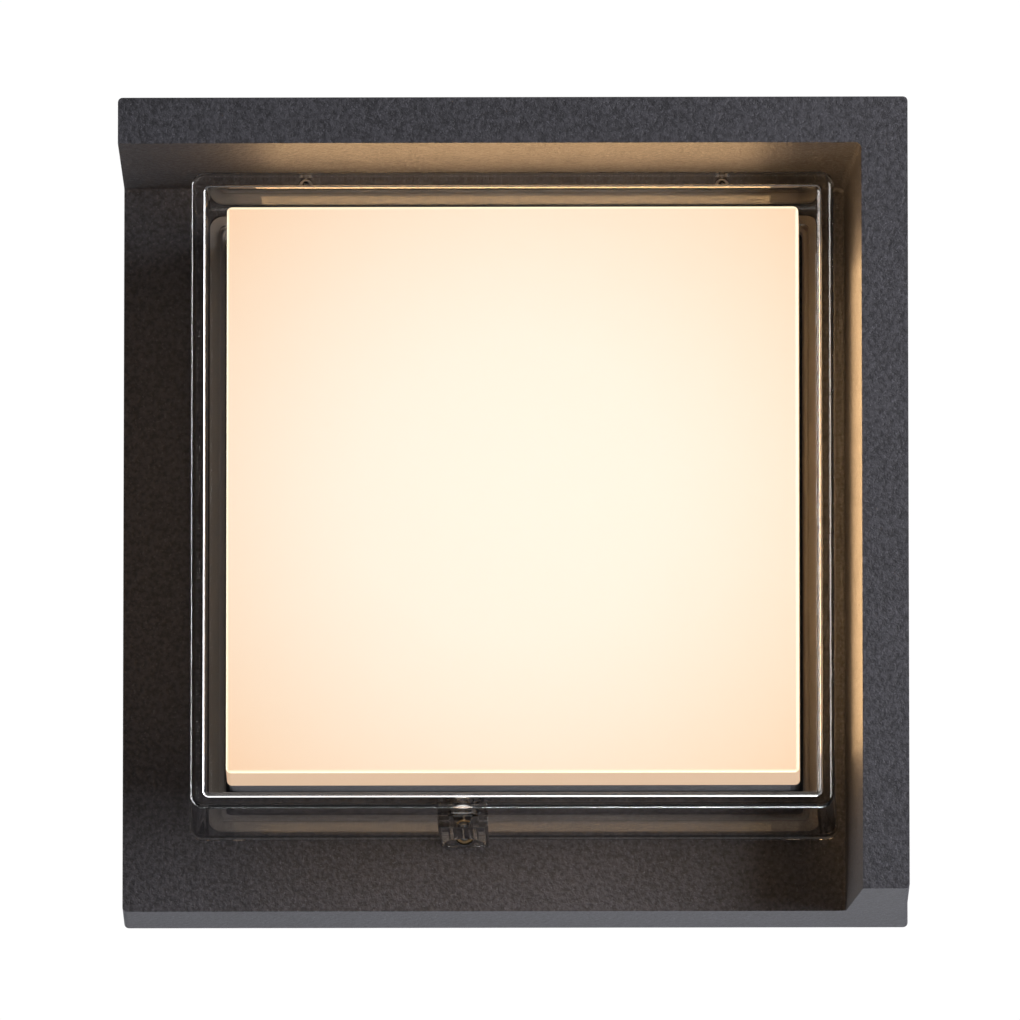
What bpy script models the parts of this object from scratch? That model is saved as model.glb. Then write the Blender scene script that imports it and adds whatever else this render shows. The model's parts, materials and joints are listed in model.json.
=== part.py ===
"""Square outdoor wall light with an L-shaped hood, a clear box cover and a lit opal diffuser.

The origin is on the wall, in the middle of the back of the light. X runs to the right, Z up, and
-Y out of the wall towards the viewer. Sizes are in millimetres and MM turns them into metres.
A part's mesh is drawn in front of its own origin: its points stand at y = -depth.
"""
import math

import bmesh
import bpy
from mathutils import Vector

MM = 0.001
GAP = 0.3                 # air left between two pieces that touch

# Die-cast body: a shallow square box with a top wall and a right wall standing in front of it.
HALF_WIDTH = 85.0
HALF_HEIGHT = 86.0
WAIST = 0.3               # how far the sides draw in at the plate
HOOD_DEPTH = 65.0         # wall to the front face of the hood
PLATE_DEPTH = 26.4        # wall to the visible plate
REAR_RIM = 1.3            # wall to the rear rim of the box
HOOD_WALL_FRONT = 10.0
HOOD_WALL_ROOT = 13.5
ROOT_FILLET = 0.8
SKIN = 3.0                # casting wall
OUTER_RADIUS = 1.0
EDGE_ROUND = 0.6

# Square pedestal on the plate, hollow from behind, which holds the light engine.
PEDESTAL_HALF = 61.3
PEDESTAL_DEPTH = 47.2
STEP_HALF = 59.0
STEP_DEPTH = 49.0
CHAMBER_HALF = 58.2
CHAMBER_FLOOR = STEP_DEPTH - SKIN
RING_HALF = 62.0
RING_DEPTH = 8.8          # wall to the rear edge of the chamber's ring
LID_SCREW_AT = 64.5
STUD_TOP = 42.0           # wall to the tops of the mounting studs in the chamber

# Clear box cover.
COVER_BASE = 26.9
COVER_HEIGHT = 42.7
COVER_HALF_BASE = 69.9
COVER_HALF_FRONT = 69.05
COVER_RIM = 0.4
COVER_WALL = 2.5
COVER_ROUND = 1.4
COVER_CORNER = 3.0
FOOT_INNER = 63.9
FOOT_THICK = 2.2
RIB_X = -10.8
RIB_HALF = 5.4
RIB_BOTTOM = -71.8
RIB_LENGTH = 31.1
LOCK_Z = -69.0
CHANNEL_RADIUS = 2.15
PAD_HALF = 3.2           # local thickening inside the cover, over the channel
PAD_TOP = -65.9
PEG_X = 45.0
PEG_Z = 69.0
PEG_RADIUS = 0.7
BUSH_HOLE = 1.55

# Opal diffuser, a square tray that opens towards the wall.
DIFFUSER_BASE = PEDESTAL_DEPTH + GAP
DIFFUSER_HEIGHT = 19.2
DIFFUSER_HALF_BASE = 61.6
DIFFUSER_HALF_FRONT = 61.4
DIFFUSER_WALL = 2.0
DIFFUSER_Z = 0.3
DIFFUSER_CORNER = 1.1
DIFFUSER_ROUND = 0.8        # round of its front edge
CLIP_HALF_WIDTH = 4.0

# Light engine.
BOARD_HALF = 48.0
BOARD_THICK = 1.5
PAD_THICK = 0.5
BOARD_BASE = STEP_DEPTH + GAP + PAD_THICK + GAP
LED_COUNT = 4
LED_PITCH = 24.0
BOARD_SCREW_AT = 43.0
LEAD_HOLE_Z = -52.2
LED_LEAD_APART = 1.4
LED_LEAD_RADIUS = 0.6
LEAD_RADIUS = 0.9

# Things in the chamber.
DRIVER_Z = 30.0
DRIVER_HALF_X = 42.0
DRIVER_HALF_Z = 17.0
DRIVER_SCREW_X = 48.0
DRIVER_PLATE_HALF = 53.0
DRIVER_PLATE_THICK = 1.6
DRIVER_CASE_REAR = 19.0
DRIVER_CASE_WALL = 1.6
DRIVER_BOARD_REAR = 35.4
DRIVER_BASE = STUD_TOP - GAP
TERMINAL_Z = -30.0
TERMINAL_HALF_X = 17.0
TERMINAL_HALF_Z = 8.0
TERMINAL_SCREW_X = 22.5
TERMINAL_REAR = 29.0
TERMINAL_PITCH = 11.0
TERMINAL_TAB = 2.4
EARTH_X = -40.0
GROMMET_X = 30.0
VENT_X = -35.0
VENT_Z = -40.0

# Rear closing parts and wall bracket.
LID_HALF = 68.5
LID_THICK = 1.8
LID_BASE = 5.2
BRACKET_HALF_X = 81.5
BRACKET_HALF_Z = 20.0
BRACKET_THICK = 2.0
BRACKET_FLANGE = 18.0
SIDE_SCREW_DEPTH = 12.0
WALL_SLOT_X = 56.0
WALL_SLOT_HALF = 7.0
WALL_SLOT_ROUND = 2.6
CABLE_HOLE = 8.0

M3_HOLE = 1.8
M3_SHANK = 1.5
M4_HOLE = 2.4
M4_SHANK = 2.0
INSERT_HOLE = 2.3

# turned profiles of (radius, height) and sections of (half width, depth), each from end to end
BUSH_PROFILE = ((0.7, -4.9), (1.25, -4.6), (1.25, 0.0), (0.95, 0.0), (0.95, -4.2), (0.4, -4.4))
INSERT_PROFILE = ((1.6, -8.0), (2.0, -7.7), (2.0, 0.0), (1.5, 0.0), (1.5, -7.0), (0.9, -7.3))
GROMMET_PROFILE = ((2.6, -3.6), (5.6, -3.2), (8.0, -2.6), (8.0, -LID_THICK - GAP), (5.7, -LID_THICK - GAP),
                   (5.7, GAP), (8.0, GAP), (8.0, 1.1), (4.5, 2.1), (2.6, 2.1))
VENT_PROFILE = ((4.1, -6.0), (4.1, GAP), (5.6, GAP), (5.6, 1.4), (4.6, 2.0), (2.0, 2.0), (2.0, 1.2))
LEAD_GROMMET_PROFILE = ((1.0, -4.4), (3.6, -4.4), (3.6, -SKIN - GAP), (2.6, -SKIN - GAP), (2.6, GAP),
                        (3.6, GAP), (3.6, 1.2), (1.0, 1.2))
CLIP_LEAF = ((0.0, 0.0), (1.0, 0.0), (1.0, 0.3), (0.35, 0.3), (0.35, 1.2), (0.75, 1.7), (0.35, 2.4),
             (0.0, 2.4))
REFLECTOR_SECTION = ((57.6, STEP_DEPTH + GAP), (57.6, 54.6), (56.6, 55.6), (48.0, 55.6), (47.2, 54.6),
                     (55.6, 54.6), (56.4, 53.8), (56.4, STEP_DEPTH + GAP))

SMOOTH_ANGLE = math.radians(40)

POWDER_COAT = ("anthracite_powder_coat", (0.060, 0.060, 0.066), 0.62, 0.0)
CLEAR = ("clear_acrylic", (0.93, 0.94, 0.94), 0.03, 0.0)
OPAL = ("opal_diffuser_acrylic", (1.0, 0.90, 0.72), 0.45, 0.0)
RUBBER = ("black_rubber", (0.020, 0.020, 0.021), 0.80, 0.0)
ZINC = ("zinc_plated_steel", (0.62, 0.63, 0.65), 0.35, 1.0)
STAINLESS = ("stainless_steel", (0.42, 0.42, 0.43), 0.30, 1.0)
BRASS = ("brass", (0.72, 0.52, 0.22), 0.30, 1.0)
BARE_CAST = ("mill_aluminium", (0.72, 0.73, 0.74), 0.42, 1.0)
WHITE_PLASTIC = ("white_plastic", (0.84, 0.84, 0.82), 0.40, 0.0)
BOARD_WHITE = ("white_solder_mask", (0.80, 0.80, 0.76), 0.38, 0.0)
PALE_SEAL = ("grey_silicone_seal", (0.50, 0.49, 0.47), 0.60, 0.0)
GREY_PAD = ("grey_silicone_pad", (0.30, 0.32, 0.34), 0.75, 0.0)
GREEN_BOARD = ("green_circuit_board", (0.03, 0.18, 0.08), 0.40, 0.0)
GREY_NYLON = ("grey_nylon", (0.45, 0.46, 0.47), 0.50, 0.0)
BROWN_SLEEVE = ("brown_lead_sleeve", (0.16, 0.07, 0.03), 0.45, 0.0)
BLUE_SLEEVE = ("blue_lead_sleeve", (0.04, 0.12, 0.42), 0.45, 0.0)
GREEN_SLEEVE = ("green_lead_sleeve", (0.12, 0.36, 0.06), 0.45, 0.0)
RED_SLEEVE = ("red_lead_sleeve", (0.50, 0.03, 0.02), 0.45, 0.0)
BLACK_SLEEVE = ("black_lead_sleeve", (0.025, 0.025, 0.025), 0.45, 0.0)


# ---------------------------------------------------------------- scene, materials and objects

def clear_scene():
    """Remove whatever the scene holds."""
    for obj in list(bpy.data.objects):
        bpy.data.objects.remove(obj, do_unlink=True)


def material(finish):
    """Return the Principled material of a finish, made on first use."""
    name, colour, roughness, metallic = finish
    found = bpy.data.materials.get(name)
    if found:
        return found
    made = bpy.data.materials.new(name)
    made.use_nodes = True
    made.diffuse_color = (*colour, 1.0)
    shader = made.node_tree.nodes["Principled BSDF"]
    shader.inputs["Base Color"].default_value = (*colour, 1.0)
    shader.inputs["Roughness"].default_value = roughness
    shader.inputs["Metallic"].default_value = metallic
    if finish is CLEAR:
        shader.inputs["Transmission Weight"].default_value = 1.0
        shader.inputs["IOR"].default_value = 1.49
    if finish is OPAL:
        shader.inputs["Emission Color"].default_value = (1.0, 0.86, 0.62, 1.0)
        shader.inputs["Emission Strength"].default_value = 1.5
    return made


def empty(name, location, parent=None):
    """Add an empty whose place is given in millimetres from its parent."""
    obj = bpy.data.objects.new(name, None)
    bpy.context.collection.objects.link(obj)
    obj.location = Vector(location) * MM
    obj.parent = parent
    return obj


def solid(name, mesh_data, at=(0, 0, 0), finish=None, parent=None, smooth=True):
    """Make an object from (points, faces) in millimetres, its origin at the place given."""
    points, faces = mesh_data
    mesh = bpy.data.meshes.new(name)
    shape = bmesh.new()
    verts = [shape.verts.new(Vector(point) * MM) for point in points]
    for face in faces:
        shape.faces.new([verts[index] for index in face])
    bmesh.ops.recalc_face_normals(shape, faces=shape.faces)
    shape.to_mesh(mesh)
    shape.free()
    obj = bpy.data.objects.new(name, mesh)
    bpy.context.collection.objects.link(obj)
    obj.location = Vector(at) * MM
    obj.parent = parent
    if finish:
        mesh.materials.append(material(finish))
    if smooth:
        mesh.shade_smooth()
        mesh.set_sharp_from_angle(angle=SMOOTH_ANGLE)
    return obj


def tool(name, mesh_data, at=(0, 0, 0)):
    """Make a hidden helper solid for a Boolean."""
    obj = solid(name, mesh_data, at, smooth=False)
    obj.hide_render = True
    obj.display_type = "WIRE"
    return obj


def combine(target, helper, operation):
    """Add an exact Boolean modifier to the target, which keeps it live."""
    modifier = target.modifiers.new(helper.name, "BOOLEAN")
    modifier.operation = operation
    modifier.solver = "EXACT"
    modifier.object = helper
    helper.parent = target.parent


def cut(target, name, mesh_data, at=(0, 0, 0)):
    """Cut a helper solid out of the target."""
    combine(target, tool(name, mesh_data, at), "DIFFERENCE")


def fuse(target, name, mesh_data, at=(0, 0, 0)):
    """Join a helper solid to the target."""
    combine(target, tool(name, mesh_data, at), "UNION")


# ------------------------------------------------------------------------------- shapes

def rounded(corners, radii, depth, steps=4):
    """Outline of right-angled corners with arcs of the radii given, standing at a depth."""
    outline = []
    count = len(corners)
    for index, (corner, radius) in enumerate(zip(corners, radii)):
        here = Vector(corner)
        back = (Vector(corners[index - 1]) - here).normalized()
        ahead = (Vector(corners[(index + 1) % count]) - here).normalized()
        centre = here + (back + ahead) * radius
        for step in range(steps + 1):
            turn = math.pi / 2 * step / steps
            point = centre - (ahead * math.cos(turn) + back * math.sin(turn)) * radius
            outline.append((point.x, -depth, point.y))
    return outline


def square(half, depth, radius, half_z=None, centre=(0.0, 0.0), steps=4):
    """Rounded rectangle, centred in front of the part's origin."""
    tall = half if half_z is None else half_z
    x, z = centre
    corners = ((x - half, z - tall), (x + half, z - tall), (x + half, z + tall), (x - half, z + tall))
    return rounded(corners, (radius,) * 4, depth, steps)


def loft(rings, ends=True):
    """Skin through rings of equal length: capped at both ends, or closed into a loop."""
    size = len(rings[0])
    points = [point for ring in rings for point in ring]
    faces = []
    spans = len(rings) - 1 if ends else len(rings)
    for span in range(spans):
        here = span * size
        there = (span + 1) % len(rings) * size
        for index in range(size):
            after = (index + 1) % size
            faces.append((here + index, here + after, there + after, there + index))
    if ends:
        faces.append(tuple(range(size)))
        faces.append(tuple(range(len(points) - size, len(points))))
    return points, faces


def frame(outer, inner, front, rear, radius, extra_z=0.0):
    """Flat square frame between two half widths and two depths."""
    rings = []
    for half, depth in ((outer, rear), (outer, front), (inner, front), (inner, rear)):
        rings.append(square(half, depth, radius - (outer - half) * 0.5, half + extra_z))
    return loft(rings, ends=False)


def turned(profile, steps=16):
    """Turn a profile of (radius, height) or (radius, height, "hex") about local Z, both ends capped."""
    rings = []
    for entry in profile:
        radius, height = entry[:2]
        ring = []
        for step in range(steps):
            angle = 2 * math.pi * step / steps
            reach = radius
            if len(entry) == 3:
                reach = radius / math.cos(angle % (math.pi / 3) - math.pi / 6)
            ring.append((reach * math.cos(angle), reach * math.sin(angle), height))
        rings.append(ring)
    return loft(rings)


def turned_ring(profile, steps=24):
    """Turn a closed profile of (radius, height) about local Z into a ring."""
    rings = []
    for radius, height in profile:
        angles = [2 * math.pi * step / steps for step in range(steps)]
        rings.append([(radius * math.cos(a), radius * math.sin(a), height) for a in angles])
    return loft(rings, ends=False)


def block(x0, x1, depth0, depth1, z0, z1):
    """Plain box between two depths."""
    rings = [[(x0, -d, z0), (x1, -d, z0), (x1, -d, z1), (x0, -d, z1)] for d in (depth0, depth1)]
    return loft(rings)


def blocks(boxes):
    """Several separate boxes in one mesh."""
    points, faces = [], []
    for box in boxes:
        more_points, more_faces = block(*box)
        start = len(points)
        points += more_points
        faces += [tuple(index + start for index in face) for face in more_faces]
    return points, faces


def rod(radius, depth0, depth1, steps=20, x=0.0, z=0.0):
    """Cylinder that runs along the depth."""
    rings = []
    for depth in (depth0, depth1):
        ring = []
        for step in range(steps):
            angle = 2 * math.pi * step / steps
            ring.append((x + radius * math.cos(angle), -depth, z + radius * math.sin(angle)))
        rings.append(ring)
    return loft(rings)


def quarter(radius, steps=3):
    """Pairs (across, along) of a quarter round, from its start to its end."""
    turns = [math.pi / 2 * step / steps for step in range(steps + 1)]
    return [(radius * (1 - math.cos(turn)), radius * math.sin(turn)) for turn in turns]


def lead(name, route, finish, radius, parent):
    """Insulated lead: a round tube on one smooth curve through the route's points."""
    curve = bpy.data.curves.new(name, "CURVE")
    curve.dimensions = "3D"
    curve.bevel_depth = radius * MM
    curve.bevel_resolution = 2
    curve.use_fill_caps = True
    places = smooth_route([Vector(point) for point in route])
    spline = curve.splines.new("POLY")
    spline.points.add(len(places) - 1)
    for target, place in zip(spline.points, places):
        target.co = (*(place * MM), 1.0)
    curve.materials.append(material(finish))
    obj = bpy.data.objects.new(name, curve)
    bpy.context.collection.objects.link(obj)
    obj.parent = parent
    return obj


def smooth_route(route, per_span=3):
    """Points on a Catmull-Rom curve through the route."""
    ends = [route[0] * 2 - route[1], *route, route[-1] * 2 - route[-2]]
    places = []
    for index in range(1, len(ends) - 2):
        p0, p1, p2, p3 = ends[index - 1:index + 3]
        for step in range(per_span):
            t = step / per_span
            places.append(0.5 * (2 * p1 + (p2 - p0) * t + (2 * p0 - 5 * p1 + 4 * p2 - p3) * t * t
                                 + (3 * p1 - p0 - 3 * p2 + p3) * t * t * t))
    places.append(route[-1])
    return places


# ------------------------------------------------------------------------------- fasteners

def facing_front(obj):
    """Turn a part made along local Z so that it stands out of the wall."""
    obj.rotation_euler = (math.radians(90), 0, 0)
    return obj


def facing_rear(obj):
    """Turn a part made along local Z so that it points at the wall."""
    obj.rotation_euler = (math.radians(-90), 0, 0)
    return obj


def pan_screw(name, at, length, finish, parent, shank=M3_SHANK, head=2.75, rise=1.9):
    """Pan head screw with a hexagon socket; the underside of its head is at its origin."""
    socket = head * 0.45
    profile = (
        (shank * 0.6, -length), (shank, -length + 0.6), (shank, 0.0), (head, 0.0), (head, rise * 0.5),
        (head * 0.82, rise * 0.9), (head * 0.6, rise), (socket, rise, "hex"), (socket, rise * 0.35, "hex"),
    )
    return solid(name, turned(profile, 12), at, finish, parent)


def countersunk_screw(name, at, length, finish, parent):
    """Countersunk screw with a hexagon socket; the flat of its head is at its origin."""
    profile = (
        (M4_SHANK * 0.6, -length), (M4_SHANK, -length + 0.8), (M4_SHANK, -1.9), (3.7, -0.2), (3.7, 0.0),
        (1.5, 0.0, "hex"), (1.5, -1.3, "hex"),
    )
    return solid(name, turned(profile, 12), at, finish, parent)


# ------------------------------------------------------------------------------- die-cast body

def hood_wall_at(reach):
    """Thickness of the hood's walls at a distance in front of the plate."""
    run = HOOD_DEPTH - PLATE_DEPTH
    return HOOD_WALL_ROOT + (HOOD_WALL_FRONT - HOOD_WALL_ROOT) * reach / run


def room_ring(reach, extra):
    """Outline of the open space in front of the plate: bounded by the hood above and on the right."""
    wall = hood_wall_at(reach) + extra
    right = HALF_WIDTH - wall
    top = HALF_HEIGHT - wall
    left = -HALF_WIDTH - 20
    bottom = -HALF_HEIGHT - 20
    corners = ((left, bottom), (right, bottom), (right, top), (left, top))
    return rounded(corners, (1.0, 1.0, 1.2 + (ROOT_FILLET - extra) * 0.1, 1.0), PLATE_DEPTH + reach)


def room():
    """Space in front of the plate, with a fillet where the hood rises from the plate."""
    rings = []
    for across, along in quarter(ROOT_FILLET, 4):
        rings.append(room_ring(across, ROOT_FILLET - along))
    rings.append(room_ring(HOOD_DEPTH - PLATE_DEPTH + 5, 0.0))
    return loft(rings)


def body_block():
    """Outer faces of the body, drawn in slightly at the plate."""
    rings = []
    for depth, draw in ((REAR_RIM, 0.0), (PLATE_DEPTH, WAIST), (HOOD_DEPTH, 0.0)):
        rings.append(square(HALF_WIDTH - draw, depth, OUTER_RADIUS, HALF_HEIGHT - draw))
    return loft(rings)


def add_chamber(body):
    """Hollow the box and the pedestal from behind, leaving the sealed chamber's ring and studs."""
    fuse(body, "pedestal", loft([
        square(PEDESTAL_HALF + 0.4, PLATE_DEPTH - 1, 3.0),
        square(PEDESTAL_HALF, PEDESTAL_DEPTH, 3.0),
        square(STEP_HALF, PEDESTAL_DEPTH, 2.4),
        square(STEP_HALF - 0.3, STEP_DEPTH, 2.2),
    ]))
    inner_x = HALF_WIDTH - SKIN
    inner_z = HALF_HEIGHT - SKIN
    plate_back = PLATE_DEPTH - SKIN
    cut(body, "box_hollow", loft([
        square(inner_x, -2, 1.5, inner_z),
        square(inner_x - 0.5, plate_back, 1.5, inner_z - 0.5),
    ]))
    fuse(body, "chamber_ring", loft([
        square(RING_HALF, RING_DEPTH, 4.0),
        square(RING_HALF, plate_back + 1, 4.0),
    ]))
    for x in (-LID_SCREW_AT, LID_SCREW_AT):
        for z in (-LID_SCREW_AT, LID_SCREW_AT):
            fuse(body, "lid_stud", rod(4.0, RING_DEPTH + 0.05, plate_back + 0.9, 16, x, z))
    fuse(body, "insert_stud", rod(4.4, plate_back - 7, plate_back + 0.8, 16, RIB_X, LOCK_Z))
    cut(body, "chamber", loft([square(CHAMBER_HALF, -2, 3.0), square(CHAMBER_HALF, CHAMBER_FLOOR, 3.0)]))
    for x, z, radius in chamber_studs():
        fuse(body, "stud", rod(radius, STUD_TOP, CHAMBER_FLOOR + 0.7, 16, x, z))


def chamber_studs():
    """Places and radii of the studs on the chamber's floor."""
    studs = [(side * DRIVER_SCREW_X, DRIVER_Z, 3.5) for side in (-1, 1)]
    studs += [(TERMINAL_SCREW_X, TERMINAL_Z, 3.5), (-12.0, TERMINAL_Z, 3.5), (EARTH_X, TERMINAL_Z, 4.0)]
    for x in (-BOARD_SCREW_AT, BOARD_SCREW_AT):
        studs += [(x, z, 3.5) for z in (-BOARD_SCREW_AT, BOARD_SCREW_AT)]
    return studs


def add_holes(body):
    """Drill the body: screw holes, the lead hole, the bush and insert holes, and the seal groove."""
    for x in (-LID_SCREW_AT, LID_SCREW_AT):
        for z in (-LID_SCREW_AT, LID_SCREW_AT):
            cut(body, "lid_screw_hole", rod(M3_HOLE, RING_DEPTH - 1, 19, 12, x, z))
    for x in (-BOARD_SCREW_AT, BOARD_SCREW_AT):
        for z in (-BOARD_SCREW_AT, BOARD_SCREW_AT):
            cut(body, "board_screw_hole", rod(M3_HOLE, 43.2, STEP_DEPTH + 1, 12, x, z))
    for x, z in ((-DRIVER_SCREW_X, DRIVER_Z), (DRIVER_SCREW_X, DRIVER_Z), (TERMINAL_SCREW_X, TERMINAL_Z),
                 (EARTH_X, TERMINAL_Z)):
        cut(body, "stud_hole", rod(M3_HOLE, STUD_TOP - 1, 47.5, 12, x, z))
    cut(body, "lead_hole", rod(2.9, CHAMBER_FLOOR - 1, STEP_DEPTH + 1, 16, 0, LEAD_HOLE_Z))
    cut(body, "insert_hole", rod(INSERT_HOLE, 17.6, PLATE_DEPTH + 1, 16, RIB_X, LOCK_Z))
    for x in (-PEG_X, PEG_X):
        cut(body, "bush_hole", rod(BUSH_HOLE, 20, PLATE_DEPTH + 1, 16, x, PEG_Z))
    cut(body, "seal_groove", frame(66.4, 64.2, PLATE_DEPTH + 1, PLATE_DEPTH - 1.2, 3.0))
    for side in (-1, 1):
        hole = tool("side_screw_hole", turned(((M4_HOLE, -9), (M4_HOLE, -2.6), (4.4, -0.4), (4.4, 3.0)), 16),
                    (side * HALF_WIDTH, -SIDE_SCREW_DEPTH, 0))
        hole.rotation_euler = (0, math.radians(90 * side), 0)
        combine(body, hole, "DIFFERENCE")
        cut(body, "clip_notch", block(-5, 5, PEDESTAL_DEPTH + 0.05, STEP_DEPTH + 1, -1.5, 1.5),
            (0, 0, side * STEP_HALF))
        cut(body, "clip_notch", block(-1.5, 1.5, PEDESTAL_DEPTH + 0.05, STEP_DEPTH + 1, -5, 5),
            (side * STEP_HALF, 0, 0))


def make_housing(parent):
    """Die-cast body: box, plate, hood, pedestal and everything cast or drilled in it."""
    body = solid("housing", body_block(), finish=POWDER_COAT, parent=parent, smooth=False)
    cut(body, "room", room())
    edges = body.modifiers.new("edge_round", "BEVEL")
    edges.width = EDGE_ROUND * MM
    edges.segments = 2
    edges.limit_method = "ANGLE"
    edges.angle_limit = math.radians(50)
    add_chamber(body)
    add_holes(body)


# ------------------------------------------------------------------------------- rear parts

def make_wall_bracket(parent):
    """Steel channel that is screwed to the wall; the body slides over it and is fixed from both sides."""
    half = BRACKET_HALF_X
    thick = BRACKET_THICK
    flange = BRACKET_FLANGE
    outline = [(-half, flange), (-half, 1.5), (-half + 1.5, 0), (half - 1.5, 0), (half, 1.5), (half, flange),
               (half - thick, flange), (half - thick, thick + 0.5), (half - thick - 0.5, thick),
               (-half + thick + 0.5, thick), (-half + thick, thick + 0.5), (-half + thick, flange)]
    rings = [[(x, -depth, z) for x, depth in outline] for z in (-BRACKET_HALF_Z, BRACKET_HALF_Z)]
    bracket = solid("wall_bracket", loft(rings), finish=ZINC, parent=parent, smooth=False)
    cut(bracket, "cable_hole", rod(CABLE_HOLE, -1, 4, 24, GROMMET_X, 0))
    for x in (-WALL_SLOT_X, WALL_SLOT_X):
        slot = [square(WALL_SLOT_HALF, depth, WALL_SLOT_ROUND, WALL_SLOT_ROUND, (x, 0)) for depth in (-1, 4)]
        cut(bracket, "wall_slot", loft(slot))
    for side in (-1, 1):
        hole = tool("flange_hole", turned(((M4_HOLE, -9), (M4_HOLE, 3.0)), 16),
                    (side * HALF_WIDTH, -SIDE_SCREW_DEPTH, 0))
        hole.rotation_euler = (0, math.radians(90 * side), 0)
        combine(bracket, hole, "DIFFERENCE")


def make_rear_closure(parent):
    """Seal between body and wall, and the gasketed lid over the chamber with its plugs and screws."""
    solid("wall_gasket", frame(84.3, 82.5, 1.0, 0.0, 1.4, 1.0), finish=RUBBER, parent=parent)
    lid = solid("rear_lid", loft([square(LID_HALF, 0, 4.4), square(LID_HALF, LID_THICK, 4.4)]),
                (0, -LID_BASE, 0), BARE_CAST, parent)
    cut(lid, "grommet_hole", rod(6.0, -1, 4, 20, GROMMET_X, 0), (0, -LID_BASE, 0))
    cut(lid, "vent_hole", rod(4.4, -1, 4, 16, VENT_X, VENT_Z), (0, -LID_BASE, 0))
    solid("lid_gasket", frame(61.6, 59.0, 8.5, 7.3, 3.6), finish=RUBBER, parent=parent)
    number = 0
    for x in (-LID_SCREW_AT, LID_SCREW_AT):
        for z in (-LID_SCREW_AT, LID_SCREW_AT):
            number += 1
            cut(lid, "lid_hole", rod(M3_HOLE, -1, 4, 12, x, z), (0, -LID_BASE, 0))
            at = (x, -LID_BASE + GAP, z)
            facing_rear(pan_screw(f"lid_screw_{number}", at, 12.0, STAINLESS, parent))
    facing_rear(solid("cable_grommet", turned(GROMMET_PROFILE, 24), (GROMMET_X, -LID_BASE, 0), RUBBER,
                      parent))
    facing_rear(solid("vent_plug", turned(VENT_PROFILE, 16), (VENT_X, -LID_BASE, VENT_Z), BLACK_SLEEVE,
                      parent))


def make_side_screws(parent):
    """Countersunk screws through the sides of the body into the bracket's flanges."""
    for side, name in ((-1, "bracket_screw_left"), (1, "bracket_screw_right")):
        at = (side * (HALF_WIDTH - 0.5), -SIDE_SCREW_DEPTH, 0)
        obj = countersunk_screw(name, at, 8.0, STAINLESS, parent)
        obj.rotation_euler = (0, math.radians(90 * side), 0)


# ------------------------------------------------------------------------------- chamber parts

def make_driver(parent):
    """Driver: base plate on two studs, plastic case, and the circuit board inside it."""
    base = solid("driver_base", loft([
        square(DRIVER_PLATE_HALF, DRIVER_BASE - DRIVER_PLATE_THICK, 2.0, DRIVER_HALF_Z, (0, DRIVER_Z)),
        square(DRIVER_PLATE_HALF, DRIVER_BASE, 2.0, DRIVER_HALF_Z, (0, DRIVER_Z)),
    ]), finish=BARE_CAST, parent=parent)
    case_front = DRIVER_BASE - DRIVER_PLATE_THICK - GAP
    case_rear = DRIVER_CASE_REAR
    wall = DRIVER_CASE_WALL
    draft = wall + 0.2
    solid("driver_case", loft([
        square(DRIVER_HALF_X - draft, case_rear + draft, 1.2, DRIVER_HALF_Z - draft, (0, DRIVER_Z)),
        square(DRIVER_HALF_X - wall, case_front, 1.4, DRIVER_HALF_Z - wall, (0, DRIVER_Z)),
        square(DRIVER_HALF_X, case_front, 2.4, DRIVER_HALF_Z, (0, DRIVER_Z)),
        square(DRIVER_HALF_X - 0.3, case_rear + 0.8, 2.2, DRIVER_HALF_Z - 0.3, (0, DRIVER_Z)),
        square(DRIVER_HALF_X - 1.1, case_rear, 1.6, DRIVER_HALF_Z - 1.1, (0, DRIVER_Z)),
    ]), finish=WHITE_PLASTIC, parent=parent)
    rear = DRIVER_BOARD_REAR
    board = solid("driver_board", block(-38, 38, rear, rear + 1.6, DRIVER_Z - 14, DRIVER_Z + 14),
                  finish=GREEN_BOARD, parent=parent, smooth=False)
    fuse(board, "transformer", block(-12, 8, rear - 11.9, rear + 0.5, DRIVER_Z - 9, DRIVER_Z + 9))
    fuse(board, "capacitor", rod(5.0, rear - 12.9, rear + 0.5, 16, 20, DRIVER_Z + 4))
    fuse(board, "input_filter", block(-33, -22, rear - 9.4, rear + 0.5, DRIVER_Z - 7, DRIVER_Z + 7))
    for number, x in enumerate((-DRIVER_SCREW_X, DRIVER_SCREW_X), 1):
        cut(base, "driver_hole", rod(M3_HOLE, DRIVER_BASE - 3, DRIVER_BASE + 1, 12, x, DRIVER_Z))
        at = (x, -case_front, DRIVER_Z)
        facing_rear(pan_screw(f"driver_screw_{number}", at, 6.0, ZINC, parent))


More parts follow.
